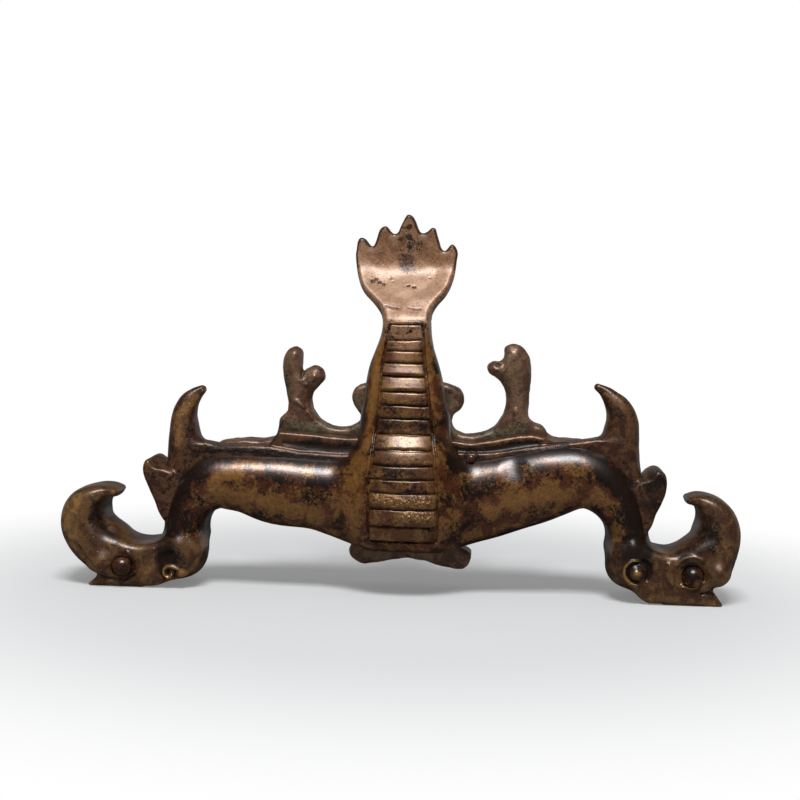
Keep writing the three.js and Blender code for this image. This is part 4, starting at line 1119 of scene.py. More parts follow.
class Surroundings:
    """How open or sheltered each place on the rest is, which tells where it is rubbed and where dirt stays."""

    step = 0.6
    margin = 9.0
    near_width = 0.8
    wide_width = 2.6

    def __init__(self, casts: Iterable["Cast"]) -> None:
        """Fill a coarse block with all castings and soften it by two widths."""
        casts = list(casts)
        low = np.min([cast.box[0] for cast in casts], axis=0) - self.margin
        high = np.max([cast.box[1] for cast in casts], axis=0) + self.margin
        start, (x, y, z) = Block.axes((low, high), self.step)
        filled = np.zeros((x.size, y.size, z.size))
        for cast in casts:
            block = Block.of(cast.form, cast.box, self.step)
            share = np.clip(0.5 - block.values / self.step, 0, 1)
            where = tuple(slice(a, a + n) for a, n in zip(block.low - start, share.shape))
            filled[where] = np.maximum(filled[where], share)
        self.block = Block(start, self.step, filled)
        self.near = self.soften(filled, self.near_width)
        self.wide = self.soften(filled, self.wide_width)

    def soften(self, filled: Array, width: float) -> Array:
        """Blur the filled space by a width in millimetres."""
        spread = np.fft.rfftn(filled)
        for axis, count in enumerate(filled.shape):
            waves = np.fft.rfftfreq(count) if axis == 2 else np.fft.fftfreq(count)
            fall = np.exp(-2 * (math.pi * waves * width / self.step) ** 2)
            spread *= fall.reshape([-1 if i == axis else 1 for i in range(3)])
        return np.fft.irfftn(spread, filled.shape)

    def marks(self, points: Array) -> dict[str, Array]:
        """Open edges, narrow grooves and wide hollows at points, each from 0 to 1."""
        near = self.block.read(self.near, points) - 0.5
        wide = self.block.read(self.wide, points) - 0.5
        return {"edge": ease(-near, 0.02, 0.24), "groove": ease(near, 0.02, 0.22), "hollow": ease(wide, 0.0, 0.34)}


@dataclass(frozen=True)
class Cast:
    """One piece of the casting: its form, the space that it fills and the marks that colour it."""

    name: str
    form: Field
    box: Rows
    owns: Callable[[Array], Array]
    paint: Paint
    rise: Callable[[Array], Array]
    step: float = 0.3

    def skin(self) -> Skin:
        """The piece's own part of the surface, with no face on the line between two pieces."""
        step = self.step * 1
        whole = Skin.of(self.form, self.box, step)
        whole.displace(self.rise)
        return whole.only(self.owns(whole.keys + 0.01))


class Place:
    """Moves what is worked out in the maker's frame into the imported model's frame."""

    def __init__(self) -> None:
        """Find the shift from the belly rivet, whose own place is known in both frames."""
        low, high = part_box("belly_rivet")
        self.shift = np.array([(low[0] + high[0]) / 2 * MM - BELLY_OFFSET, high[1] * MM - RIVETS_REAR, 0.0])

    def metres(self, points: Array) -> Array:
        """Places of the maker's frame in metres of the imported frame."""
        return (np.asarray(points, float) + self.shift) / MM


def new_object(name: str, data: bpy.types.ID) -> bpy.types.Object:
    """Put a new object into the scene."""
    made = bpy.data.objects.new(name, data)
    bpy.context.scene.collection.objects.link(made)
    return made


def add_values(mesh: bpy.types.Mesh, values: dict[str, Array]) -> None:
    """Store one number for each point of a mesh under each name."""
    for name, numbers in values.items():
        layer = mesh.attributes.new(name, "FLOAT", "POINT")
        layer.data.foreach_set("value", np.asarray(numbers, np.float32))


def close_holes(mesh: bpy.types.Mesh) -> None:
    """Close every open end of a mesh with a fan of triangles."""
    shape = bmesh.new()
    shape.from_mesh(mesh)
    open_edges = {edge for edge in shape.edges if len(edge.link_faces) == 1}
    while open_edges:
        edge = min(open_edges, key=lambda item: item.index)
        open_edges.discard(edge)
        loop = edge.link_loops[0]
        first, here = loop.link_loop_next.vert, loop.vert
        ring = [first, here]
        while here is not first:
            step = next((item for item in here.link_edges if item in open_edges), None)
            if step is None:
                break
            open_edges.discard(step)
            here = step.other_vert(here)
            ring.append(here)
        if ring[-1] is first:
            ring.pop()
        if len(ring) < 3:
            continue
        middle = shape.verts.new(sum((vert.co for vert in ring), ring[0].co * 0) / len(ring))
        for a, b in zip(ring, ring[1:] + ring[:1]):
            shape.faces.new((a, b, middle))
    shape.to_mesh(mesh)
    shape.free()


def to_object(name: str, skin: Skin, place: Place, values: dict[str, Array]) -> bpy.types.Object:
    """Make a finished object from a surface.

    Args:
        name: The object's name.
        skin: The surface in the maker's frame.
        place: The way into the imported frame.
        values: Numbers to store on its points.

    Returns:
        The object, closed and shaded smoothly across its seams.
    """
    mesh = bpy.data.meshes.new(name)
    mesh.from_pydata(place.metres(skin.points).tolist(), [], skin.quads.tolist())
    add_values(mesh, values)
    close_holes(mesh)
    mesh.shade_smooth()
    added = np.zeros((len(mesh.vertices) - len(skin.points), 3))
    mesh.normals_split_custom_set_from_vertices(np.vstack([skin.normals, added]).tolist())
    return new_object(name, mesh)


# Node trees


class Graph:
    """Adds nodes to a tree with few words."""

    def __init__(self, tree: bpy.types.NodeTree) -> None:
        """Work on a tree."""
        self.tree = tree
        self.column = 0

    def add(self, kind: str, inputs: dict[str | int, object] | None = None, **settings: object) -> bpy.types.Node:
        """Add a node, set it and join what feeds it.

        Args:
            kind: The node's type name.
            inputs: A value or a socket for each input, by name or number.
            settings: The node's own settings.

        Returns:
            The new node.
        """
        node = self.tree.nodes.new(kind)
        node.location = (self.column * 190, 0)
        self.column += 1
        for key, value in settings.items():
            setattr(node, key, value)
        for key, value in (inputs or {}).items():
            if isinstance(value, Socket):
                self.tree.links.new(value, node.inputs[key])
            else:
                node.inputs[key].default_value = value
        return node

    def math(self, way: str, a: object, b: object = 0.0, clamp: bool = False) -> Socket:
        """The result of one sum on two numbers."""
        return self.add("ShaderNodeMath", {0: a, 1: b}, operation=way, use_clamp=clamp).outputs[0]

    def plus(self, a: object, b: object) -> Socket:
        """Two numbers added."""
        return self.math("ADD", a, b)

    def minus(self, a: object, b: object) -> Socket:
        """Number b taken from number a."""
        return self.math("SUBTRACT", a, b)

    def times(self, a: object, b: object, clamp: bool = False) -> Socket:
        """Two numbers multiplied."""
        return self.math("MULTIPLY", a, b, clamp)

    def fit(self, value: object, low: float, high: float, to: tuple[float, float] = (0, 1)) -> Socket:
        """A value moved smoothly from one range to another."""
        inputs = {"Value": value, "From Min": low, "From Max": high, "To Min": to[0], "To Max": to[1]}
        return self.add("ShaderNodeMapRange", inputs, interpolation_type="SMOOTHSTEP").outputs[0]

    def tint(self, share: object, a: object, b: object, way: str = "MIX") -> Socket:
        """Colour b laid over colour a by a share."""
        node = self.add("ShaderNodeMix", {0: share, 6: a, 7: b}, data_type="RGBA", blend_type=way)
        return node.outputs[2]

    def blend(self, share: object, a: object, b: object) -> Socket:
        """Number b mixed into number a by a share."""
        return self.add("ShaderNodeMix", {0: share, 2: a, 3: b}, data_type="FLOAT").outputs[0]


class ShaderGroup(Graph):
    """A shader node group with named inputs, whose patterns read Object coordinates. Sizes are in millimetres."""

    def __init__(self, name: str, inputs: dict[str, object], outputs: dict[str, str]) -> None:
        """Begin the group.

        Args:
            name: The group's name.
            inputs: Each input's name and its usual value, a number or a colour. One is named Seed.
            outputs: Each output's name and its socket type.
        """
        super().__init__(bpy.data.node_groups.new(name, "ShaderNodeTree"))
        sockets = self.tree.interface
        for label, value in inputs.items():
            kind = "NodeSocketColor" if isinstance(value, tuple) else "NodeSocketFloat"
            sockets.new_socket(label, in_out="INPUT", socket_type=kind).default_value = value
        for label, kind in outputs.items():
            sockets.new_socket(label, in_out="OUTPUT", socket_type=kind)
        self.inputs = self.add("NodeGroupInput").outputs
        self.place = self.add("ShaderNodeTexCoord").outputs["Object"]

    def attribute(self, name: str) -> Socket:
        """A number stored on the mesh's points."""
        return self.add("ShaderNodeAttribute", attribute_name=name).outputs["Fac"]

    def noise(self, size: object, detail: float, rough: float, shift: float = 0.0, distortion: float = 0.0) -> Socket:
        """Noise with waves of a size, whose pattern the group's seed and a shift choose."""
        inlet = {
            "Vector": self.place, "W": self.plus(self.inputs["Seed"], shift), "Detail": detail,
            "Scale": self.math("DIVIDE", MM, size), "Roughness": rough, "Distortion": distortion,
        }
        return self.add("ShaderNodeTexNoise", inlet, noise_dimensions="4D").outputs[0]

    def finish(self, results: dict[str, Socket]) -> bpy.types.NodeTree:
        """Join results to the group's outputs."""
        self.add("NodeGroupOutput", results)
        return self.tree


def node_graph(owner: bpy.types.Material | bpy.types.World) -> Graph:
    """An empty graph for a material or the world."""
    owner.use_nodes = True
    owner.node_tree.nodes.clear()
    return Graph(owner.node_tree)


def opaque(colour: Colour) -> tuple[float, float, float, float]:
    """A colour with full cover."""
    return (*colour, 1.0)


@lru_cache(maxsize=None)
def patina_group() -> bpy.types.NodeTree:
    """Mottled patina: patches of a second tone, clusters of dark specks, fine grain and bare copper."""
    group = ShaderGroup(
        "mottled_patina",
        {
            "Main": (0.3, 0.2, 0.05, 1.0), "Second": (0.2, 0.05, 0.02, 1.0), "Dark": (0.02, 0.01, 0.005, 1.0),
            "Bare copper": (0.36, 0.19, 0.10, 1.0),
            "Patch size": 3.0, "Speck size": 0.8, "Second share": 0.4, "Dark share": 0.3, "Seed": 0.0,
        },
        {"Colour": "NodeSocketColor", "Dark mask": "NodeSocketFloat"},
    )
    inputs = group.inputs
    tint = group.math("MINIMUM", group.math("MAXIMUM", group.attribute("tint"), -1.0), 1.0)
    shift = group.times(tint, 0.13)

    def ragged(value: Socket, share: object) -> Socket:
        """A mask with ragged edges that covers about a share of the surface, less where it is golden."""
        level = group.plus(group.minus(0.64, group.times(share, 0.28)), shift)
        low, high = group.minus(level, 0.03), group.plus(level, 0.045)
        return group.fit(value, low, high)

    blotches = group.noise(inputs["Patch size"], 6.0, 0.68, 0.0, 0.6)
    patch = ragged(blotches, inputs["Second share"])
    specks = group.noise(inputs["Speck size"], 4.0, 0.7, 7.0, 0.6)
    clusters = group.noise(group.times(inputs["Patch size"], 1.4), 7.0, 0.76, 13.0, 0.6)
    dark = ragged(group.blend(0.42, clusters, specks), inputs["Dark share"])
    colour = group.tint(patch, inputs["Main"], inputs["Second"])
    copper = group.plus(group.attribute("copper"), group.minus(blotches, 0.5))
    colour = group.tint(group.fit(copper, 0.25, 0.75), colour, inputs["Bare copper"])
    grain = group.fit(group.noise(0.45, 3.0, 0.75, 3.0, 0.6), 0.28, 0.72, (0.6, 1.4))
    grey = group.add("ShaderNodeCombineColor", {0: grain, 1: grain, 2: grain}).outputs[0]
    colour = group.tint(dark, group.tint(1.0, colour, grey, "MULTIPLY"), inputs["Dark"])
    return group.finish({"Colour": colour, "Dark mask": dark})


@lru_cache(maxsize=None)
def wear_group() -> bpy.types.NodeTree:
    """Where hands have rubbed the bronze golden and where highlights are painted, where dirt stays and where shade is
    painted, and where it has gone green.
    """
    group = ShaderGroup(
        "wear",
        {"Rub": 1.0, "Grime": 1.0, "Green": 0.0, "Break-up size": 1.2, "Seed": 0.0},
        {"Rubbed": "NodeSocketFloat", "Grime": "NodeSocketFloat", "Green": "NodeSocketFloat"},
    )
    inputs = group.inputs
    broken = group.noise(inputs["Break-up size"], 4.0, 0.65)
    swing = group.times(group.minus(broken, 0.5), 2.2)
    edge, groove, hollow, tint, green = map(group.attribute, ("edge", "groove", "hollow", "tint", "green"))
    # The marks' positive tint adds to the rubbed mask, partly as painted highlights, and their negative tint adds to
    # the dirt mask, partly as painted shade.
    gold_and_highlight = group.math("MAXIMUM", tint, 0.0)
    dull = group.math("MAXIMUM", group.times(tint, -1.0), 0.0)
    rub = group.plus(group.times(edge, inputs["Rub"]), gold_and_highlight)
    rub = group.fit(group.plus(rub, swing), 0.3, 1.2, (0, 0.8))
    grime_and_shade = group.plus(group.times(groove, 0.8), group.times(hollow, 0.7))
    grime_and_shade = group.plus(group.times(grime_and_shade, inputs["Grime"]), dull)
    grime_and_shade = group.fit(group.plus(grime_and_shade, swing), 0.25, 1.15)
    verdigris = group.plus(group.times(hollow, inputs["Green"]), green)
    verdigris = group.fit(group.minus(verdigris, group.times(swing, 1.2)), 0.35, 1.0)
    rub = group.times(rub, group.minus(1.0, grime_and_shade), clamp=True)
    return group.finish({"Rubbed": rub, "Grime": grime_and_shade, "Green": verdigris})


@lru_cache(maxsize=None)
def cast_skin_group() -> bpy.types.NodeTree:
    """The fine relief of old cast bronze: grain, pebbles where it is rough, and scattered pits."""
    group = ShaderGroup(
        "cast_skin",
        {"Grain": 0.01, "Grain size": 0.3, "Pit depth": 0.08, "Pit size": 0.7, "Pit share": 0.3, "Seed": 0.0},
        {"Height": "NodeSocketFloat", "Pits": "NodeSocketFloat"},
    )
    inputs, rough = group.inputs, group.attribute("rough")
    grain = group.times(group.noise(inputs["Grain size"], 3.0, 0.6), inputs["Grain"])
    grain = group.times(grain, group.plus(1.0, group.times(rough, 2.5)))
    pebbles = group.times(group.noise(0.95, 2.0, 0.6, 9.0), group.times(rough, 0.55))
    grain = group.plus(grain, pebbles)
    scale = group.math("DIVIDE", MM, inputs["Pit size"])
    cells = group.add("ShaderNodeTexVoronoi", {"Vector": group.place, "Scale": scale, "Randomness": 1.0})
    bowl = group.fit(cells.outputs["Distance"], 0.12, 0.42, (1, 0))
    pick = group.add("ShaderNodeSeparateColor", {0: cells.outputs["Color"]}).outputs[0]
    share = group.plus(inputs["Pit share"], group.times(rough, 0.5))
    crowding = group.minus(group.noise(4.0, 2.0, 0.6, 5.0), 0.5)
    where = group.plus(share, group.times(crowding, 0.8))
    pits = group.times(bowl, group.math("LESS_THAN", pick, where))
    height = group.minus(grain, group.times(pits, inputs["Pit depth"]))
    return group.finish({"Height": height, "Pits": pits})


@dataclass(frozen=True)
class Finish:
    """A finish of the bronze. Sizes and heights are in millimetres."""

    name: str
    slot: Slot
    main: Colour
    second: Colour
    dark: Colour
    # rubbed bronze, also used for the painted highlights of the marks
    rubbed: Colour
    # dirt, also used for the painted shade of the marks
    grime_and_shade: Colour
    verdigris: Colour = (0.10, 0.16, 0.09)
    patch_size: float = 4.0
    speck_size: float = 0.6
    second_share: float = 0.5
    dark_share: float = 0.3
    rub: float = 0.8
    wear_size: float = 1.2
    grime_share: float = 0.9
    green_share: float = 0.0
    metallic: float = 0.3
    roughness: float = 0.3
    worn_roughness: float = 0.24
    dull_roughness: float = 0.5
    coat: float = 0.3
    coat_roughness: float = 0.2
    grain: float = 0.012
    grain_size: float = 0.35
    pit_depth: float = 0.06
    pit_size: float = 0.7
    pit_share: float = 0.15
    seed: float = 0.0

    def material(self) -> bpy.types.Material:
        """Build the finish's material."""
        made = bpy.data.materials.new(self.name)
        graph = node_graph(made)
        patina = graph.add("ShaderNodeGroup", {
            "Main": opaque(self.main), "Second": opaque(self.second), "Dark": opaque(self.dark),
            "Patch size": self.patch_size, "Speck size": self.speck_size,
            "Second share": self.second_share, "Dark share": self.dark_share, "Seed": self.seed,
        }, node_tree=patina_group()).outputs
        wear = graph.add("ShaderNodeGroup", {
            "Rub": self.rub, "Grime": self.grime_share, "Green": self.green_share,
            "Break-up size": self.wear_size, "Seed": self.seed,
        }, node_tree=wear_group()).outputs
        skin = graph.add("ShaderNodeGroup", {
            "Grain": self.grain, "Grain size": self.grain_size, "Pit depth": self.pit_depth,
            "Pit size": self.pit_size, "Pit share": self.pit_share, "Seed": self.seed,
        }, node_tree=cast_skin_group()).outputs
        # The rubbed colour also paints the marks' highlights, and the dirt colour their painted shade.
        colour = graph.tint(wear["Rubbed"], patina["Colour"], opaque(self.rubbed))
        colour = graph.tint(wear["Grime"], colour, opaque(self.grime_and_shade))
        colour = graph.tint(wear["Green"], colour, opaque(self.verdigris))
        colour = graph.tint(graph.times(skin["Pits"], 0.45), colour, opaque(self.dark))
        rough = graph.blend(wear["Rubbed"], self.roughness, self.worn_roughness)
        dull = graph.math("MAXIMUM", wear["Grime"], graph.times(patina["Dark mask"], 0.5))
        dull = graph.math("MAXIMUM", dull, wear["Green"])
        rough = graph.blend(dull, rough, self.dull_roughness)
        metal = graph.minus(1.0, graph.times(dull, 0.45))
        coat = graph.minus(1.0, graph.times(dull, 0.35))
        bump = graph.add("ShaderNodeBump", {"Strength": 1.0, "Distance": 1 / MM, "Height": skin["Height"]})
        shader = graph.add("ShaderNodeBsdfPrincipled", {
            "Base Color": colour, "Metallic": graph.times(metal, self.metallic), "Roughness": rough,
            "Coat Weight": graph.times(coat, self.coat), "Coat Roughness": self.coat_roughness,
            "Normal": bump.outputs[0],
        })
        graph.add("ShaderNodeOutputMaterial", {"Surface": shader.outputs[0]})
        return made


# Geometry Nodes


class NodeTool:
    """A Geometry Nodes tree that makes one kind of small piece, and the way to run it."""

    def __init__(self, name: str, inputs: dict[str, tuple[str, object]]) -> None:
        """Begin the tree.

        Args:
            name: The tree's name.
            inputs: Each input's name, with its socket type and usual value.
        """
        self.tree = bpy.data.node_groups.new(name, "GeometryNodeTree")
        sockets = self.tree.interface
        sockets.new_socket("Geometry", in_out="INPUT", socket_type="NodeSocketGeometry")
        for label, (kind, value) in inputs.items():
            socket = sockets.new_socket(label, in_out="INPUT", socket_type=kind)
            if value is not None:
                socket.default_value = value
        sockets.new_socket("Geometry", in_out="OUTPUT", socket_type="NodeSocketGeometry")
        self.graph = Graph(self.tree)
        self.entry = self.graph.add("NodeGroupInput").outputs
        self.build()

    def build(self) -> None:
        """Add the tree's own nodes."""
        raise NotImplementedError

    def vector(self, way: str, a: object, b: object) -> Socket:
        """The result of one sum on two vectors."""
        return self.graph.add("ShaderNodeVectorMath", {0: a, 1: b}, operation=way).outputs[0]

    def stretch(self, vector: object, by: object) -> Socket:
        """A vector made longer."""
        return self.graph.add("ShaderNodeVectorMath", {0: vector, "Scale": by}, operation="SCALE").outputs[0]

    def named(self, name: str, kind: str = "FLOAT") -> Socket:
        """Read a stored attribute."""
        node = self.graph.add("GeometryNodeInputNamedAttribute", {"Name": name}, data_type=kind)
        return node.outputs["Attribute"]

    def finish(self, geometry: Socket) -> None:
        """End the tree with realized, smooth geometry in its finish."""
        real = self.graph.add("GeometryNodeRealizeInstances", {"Geometry": geometry}).outputs[0]
        smooth = self.graph.add("GeometryNodeSetShadeSmooth", {"Geometry": real}).outputs[0]
        dressed = self.graph.add("GeometryNodeSetMaterial", {"Geometry": smooth, "Material": self.entry["Finish"]})
        leave = self.graph.add("NodeGroupOutput")
        self.tree.links.new(dressed.outputs[0], leave.inputs[0])

    def run(self, name: str, mesh: bpy.types.Mesh, values: dict[str, object]) -> bpy.types.Object:
        """Run the tree on a mesh and keep the result as a plain mesh.

        Args:
            name: The new object's name.
            mesh: What the tree starts from.
            values: The value of each input.

        Returns:
            The object with its finished mesh.
        """
        made = new_object(name, mesh)
        modifier = made.modifiers.new(self.tree.name, "NODES")
        modifier.node_group = self.tree
        for item in self.tree.interface.items_tree:
            if item.item_type == "SOCKET" and item.in_out == "INPUT" and item.name in values:
                modifier[item.identifier] = values[item.name]
        bpy.context.view_layer.update()
        graph = bpy.context.evaluated_depsgraph_get()
        final = bpy.data.meshes.new_from_object(made.evaluated_get(graph))
        made.modifiers.remove(modifier)
        made.data = final
        final.name = name
        bpy.data.meshes.remove(mesh)
        return made


class LatheTool(NodeTool):
    """Turns a profile of radius and height round an axis that runs from front to back."""

    def __init__(self) -> None:
        """Name the tool's inputs."""
        super().__init__(
            "turned_piece",
            {
                "Sides": ("NodeSocketInt", 32), "Middle": ("NodeSocketVector", None),
                "Dent": ("NodeSocketFloat", 0.0), "Dent size": ("NodeSocketFloat", 0.001),
                "Seed": ("NodeSocketInt", 1), "Finish": ("NodeSocketMaterial", None),
            },
        )

    def build(self) -> None:
        """Lay a grid round the axis, one row for each turn, and close it where it meets."""
        graph, entry = self.graph, self.entry
        profile = entry["Geometry"]
        size = graph.add("GeometryNodeAttributeDomainSize", {"Geometry": profile}, component="MESH")
        count = size.outputs["Point Count"]
        across = graph.plus(entry["Sides"], 1)
        inlet = {"Size X": 1.0, "Size Y": 1.0, "Vertices X": across, "Vertices Y": count}
        sheet = graph.add("GeometryNodeMeshGrid", inlet)
        index = graph.add("GeometryNodeInputIndex").outputs[0]
        turn = graph.math("FLOOR", graph.math("DIVIDE", graph.plus(index, 0.5), count))
        row = graph.minus(index, graph.times(turn, count))
        spot = graph.add("GeometryNodeInputPosition").outputs[0]
        inlet = {"Geometry": profile, "Value": spot, "Index": row}
        read = graph.add("GeometryNodeSampleIndex", inlet, data_type="FLOAT_VECTOR").outputs[0]
        parts = graph.add("ShaderNodeSeparateXYZ", {0: read}).outputs
        angle = graph.times(graph.math("DIVIDE", turn, entry["Sides"]), 2 * math.pi)
        x = graph.times(parts[0], graph.math("COSINE", angle))
        z = graph.times(parts[0], graph.math("SINE", angle))
        place = graph.add("ShaderNodeCombineXYZ", {0: x, 1: parts[1], 2: z}).outputs[0]
        scale = graph.math("DIVIDE", 1.0, entry["Dent size"])
        inlet = {"Vector": place, "W": entry["Seed"], "Scale": scale, "Detail": 2.0}
        noise = graph.add("ShaderNodeTexNoise", inlet, noise_dimensions="4D").outputs[0]
        dent = graph.times(graph.minus(noise, 0.5), entry["Dent"])
        outward = self.vector("NORMALIZE", place, (0.0, 0.0, 0.0))
        place = self.vector("ADD", place, self.stretch(outward, dent))
        place = self.vector("ADD", place, entry["Middle"])
        moved = graph.add("GeometryNodeSetPosition", {"Geometry": sheet.outputs["Mesh"], "Position": place}).outputs[0]
        closed = graph.add("GeometryNodeMergeByDistance", {"Geometry": moved, "Distance": 1e-6}).outputs[0]
        self.finish(closed)

    def turn(
        self, name: str, profile: Rows, middle: Array, finish: bpy.types.Material, dent: float = 0.0, seed: int = 1
    ) -> bpy.types.Object:
        """Turn one piece.

        Args:
            name: The piece's name.
            profile: Radius and place along the axis in millimetres, from one end to the other.
            middle: The axis's middle in metres.
            finish: The piece's material.
            dent: Height of its unevenness in millimetres.
            seed: Which unevenness it is.

        Returns:
            The closed piece.
        """
        line = bpy.data.meshes.new("profile")
        points = [(radius / MM, along / MM, 0.0) for radius, along in profile]
        line.from_pydata(points, [(i, i + 1) for i in range(len(points) - 1)], [])
        values = {
            "Sides": 40, "Middle": tuple(middle), "Dent": dent / MM, "Dent size": 0.0011, "Seed": seed,
            "Finish": finish,
        }
        made = self.run(name, line, values)
        turn_outward(made.data)
        return made


class ScuteTool(NodeTool):
    """Lays a row of rounded plates over a skin, one for each station point."""

    def __init__(self) -> None:
        """Name the tool's inputs."""
        super().__init__(
            "belly_scutes",
            {
                "Skin": ("NodeSocketObject", None), "Gap": ("NodeSocketFloat", 0.0003),
                "Rise": ("NodeSocketFloat", 0.0001), "Sink": ("NodeSocketFloat", 0.0006),
                "Round": ("NodeSocketFloat", 0.0005), "Wobble": ("NodeSocketFloat", 0.0002),
                "Wobble size": ("NodeSocketFloat", 0.003), "Columns": ("NodeSocketInt", 64),
                "Rows": ("NodeSocketInt", 16), "Seed": ("NodeSocketInt", 3), "Finish": ("NodeSocketMaterial", None),
            },
        )

    def build(self) -> None:
        """Stretch a closed plate between each station's heights and widths, then press it on the skin."""
        graph, entry = self.graph, self.entry
        size = {"Size": (1.0, 1.0, 1.0), "Vertices X": entry["Columns"], "Vertices Y": 2, "Vertices Z": entry["Rows"]}
        plate = graph.add("GeometryNodeMeshCube", size).outputs["Mesh"]
        spot = graph.add("GeometryNodeInputPosition").outputs[0]
        inlet = {"Geometry": plate, "Name": "at", "Value": spot}
        kept = graph.add("GeometryNodeStoreNamedAttribute", inlet, data_type="FLOAT_VECTOR").outputs[0]
        placed = graph.add("GeometryNodeInstanceOnPoints", {"Points": entry["Geometry"], "Instance": kept}).outputs[0]
        real = graph.add("GeometryNodeRealizeInstances", {"Geometry": placed}).outputs[0]
        u, w, v = graph.add("ShaderNodeSeparateXYZ", {0: self.named("at", "FLOAT_VECTOR")}).outputs
        up = graph.plus(v, 0.5)
        half_gap = graph.times(entry["Gap"], 0.5)
        low = graph.plus(self.named("low"), half_gap)
        high = graph.minus(self.named("high"), half_gap)
        half = graph.minus(graph.blend(up, self.named("half_low"), self.named("half_high")), half_gap)
        z = graph.blend(up, low, high)
        x = graph.plus(self.named("middle"), graph.times(graph.times(u, 2.0), half))
        flat = graph.add("ShaderNodeCombineXYZ", {0: x, 1: 0.0, 2: z}).outputs[0]
        scale = graph.math("DIVIDE", 1.0, entry["Wobble size"])
        inlet = {"Vector": flat, "W": entry["Seed"], "Scale": scale, "Detail": 2.0}
        noise = graph.add("ShaderNodeTexNoise", inlet, noise_dimensions="4D").outputs["Color"]
        sway = self.stretch(self.vector("SUBTRACT", noise, (0.5, 0.5, 0.5)), entry["Wobble"])
        flat = self.vector("ADD", flat, self.vector("MULTIPLY", sway, (0.8, 0.0, 1.6)))
        across = graph.minus(0.5, graph.math("ABSOLUTE", u))
        across = graph.times(graph.times(across, 2.0), half)
        along = graph.minus(0.5, graph.math("ABSOLUTE", v))
        along = graph.times(along, graph.minus(high, low))
        border = graph.math("DIVIDE", graph.math("MINIMUM", across, along), entry["Round"], clamp=True)
        slack = graph.minus(1.0, border)
        crown = graph.math("SQRT", graph.minus(1.0, graph.times(slack, slack)))
        deep = graph.times(entry["Sink"], -1.0)
        lip = graph.times(deep, 0.7)
        lift = graph.times(self.named("tilt"), graph.minus(0.5, v))
        front = graph.blend(crown, lip, graph.plus(entry["Rise"], lift))
        rise = graph.blend(graph.math("GREATER_THAN", w, 0.0), front, deep)
        start = self.vector("ADD", flat, (0.0, -0.05, 0.0))
        target = graph.add("GeometryNodeObjectInfo", {0: entry["Skin"]}, transform_space="RELATIVE").outputs["Geometry"]
        ray = graph.add("GeometryNodeRaycast", {
            "Target Geometry": target, "Source Position": start, "Ray Direction": (0.0, 1.0, 0.0), "Ray Length": 0.2,
        })
        place = self.vector("ADD", ray.outputs["Hit Position"], self.stretch(ray.outputs["Hit Normal"], rise))
        moved = graph.add("GeometryNodeSetPosition", {"Geometry": real, "Position": place}).outputs[0]
        edge = graph.minus(1.0, crown)
        inlet = {"Geometry": moved, "Name": "border", "Value": edge}
        marked = graph.add("GeometryNodeStoreNamedAttribute", inlet, data_type="FLOAT").outputs[0]
        self.finish(marked)


def turn_outward(mesh: bpy.types.Mesh) -> None:
    """Turn the faces of a closed mesh outward."""
    shape = bmesh.new()
    shape.from_mesh(mesh)
    bmesh.ops.recalc_face_normals(shape, faces=shape.faces)
    shape.to_mesh(mesh)
    shape.free()


# Sub-assemblies


PAINTS = ("tint", "rough", "green", "copper")


def coloured(marks: Iterable[Mark], x: Array, z: Array, weight: Array | float = 1.0) -> dict[str, Array]:
    """What marks paint at places on a face.

    Args:
        marks: The marks.
        x: Places across the face.
        z: Heights on the face.
        weight: How strongly the marks show at each place.

    Returns:
        One number for each place under each name.
    """
    values = {name: np.zeros(np.shape(x)) for name in PAINTS}
    for mark in marks:
        share = mark.share(x, z) * weight
        for name in values:
            strength = getattr(mark, name)
            if strength:
                values[name] += strength * share
    return values


def skin_marks(points: Array) -> dict[str, Array]:
    """Marks of belly, necks and faces at points on any of them, so that they run on across a seam."""
    front = ease(-points[:, 1], -2, 3)
    values = coloured(BELLY.marks, points[:, 0], points[:, 2], front * ease(-np.abs(points[:, 0]), -19, -13))
    for side in SIDES:
        middle = side.sign * points[:, 0]
        on_neck = coloured(side.neck_marks, middle, points[:, 2], front * ease(middle, 8, 15))
        deep = 0.25 + 0.75 * ease(np.abs(points[:, 1]), 3, 7)
        on_face = coloured(side.marks, middle - side.foot, points[:, 2], deep * (middle > 0))
        values = {name: values[name] + on_neck[name] + on_face[name] for name in values}
    # painted shade: the backs of belly, necks and heads are darkened
    values["tint"] -= 0.45 * (1 - front)
    return values


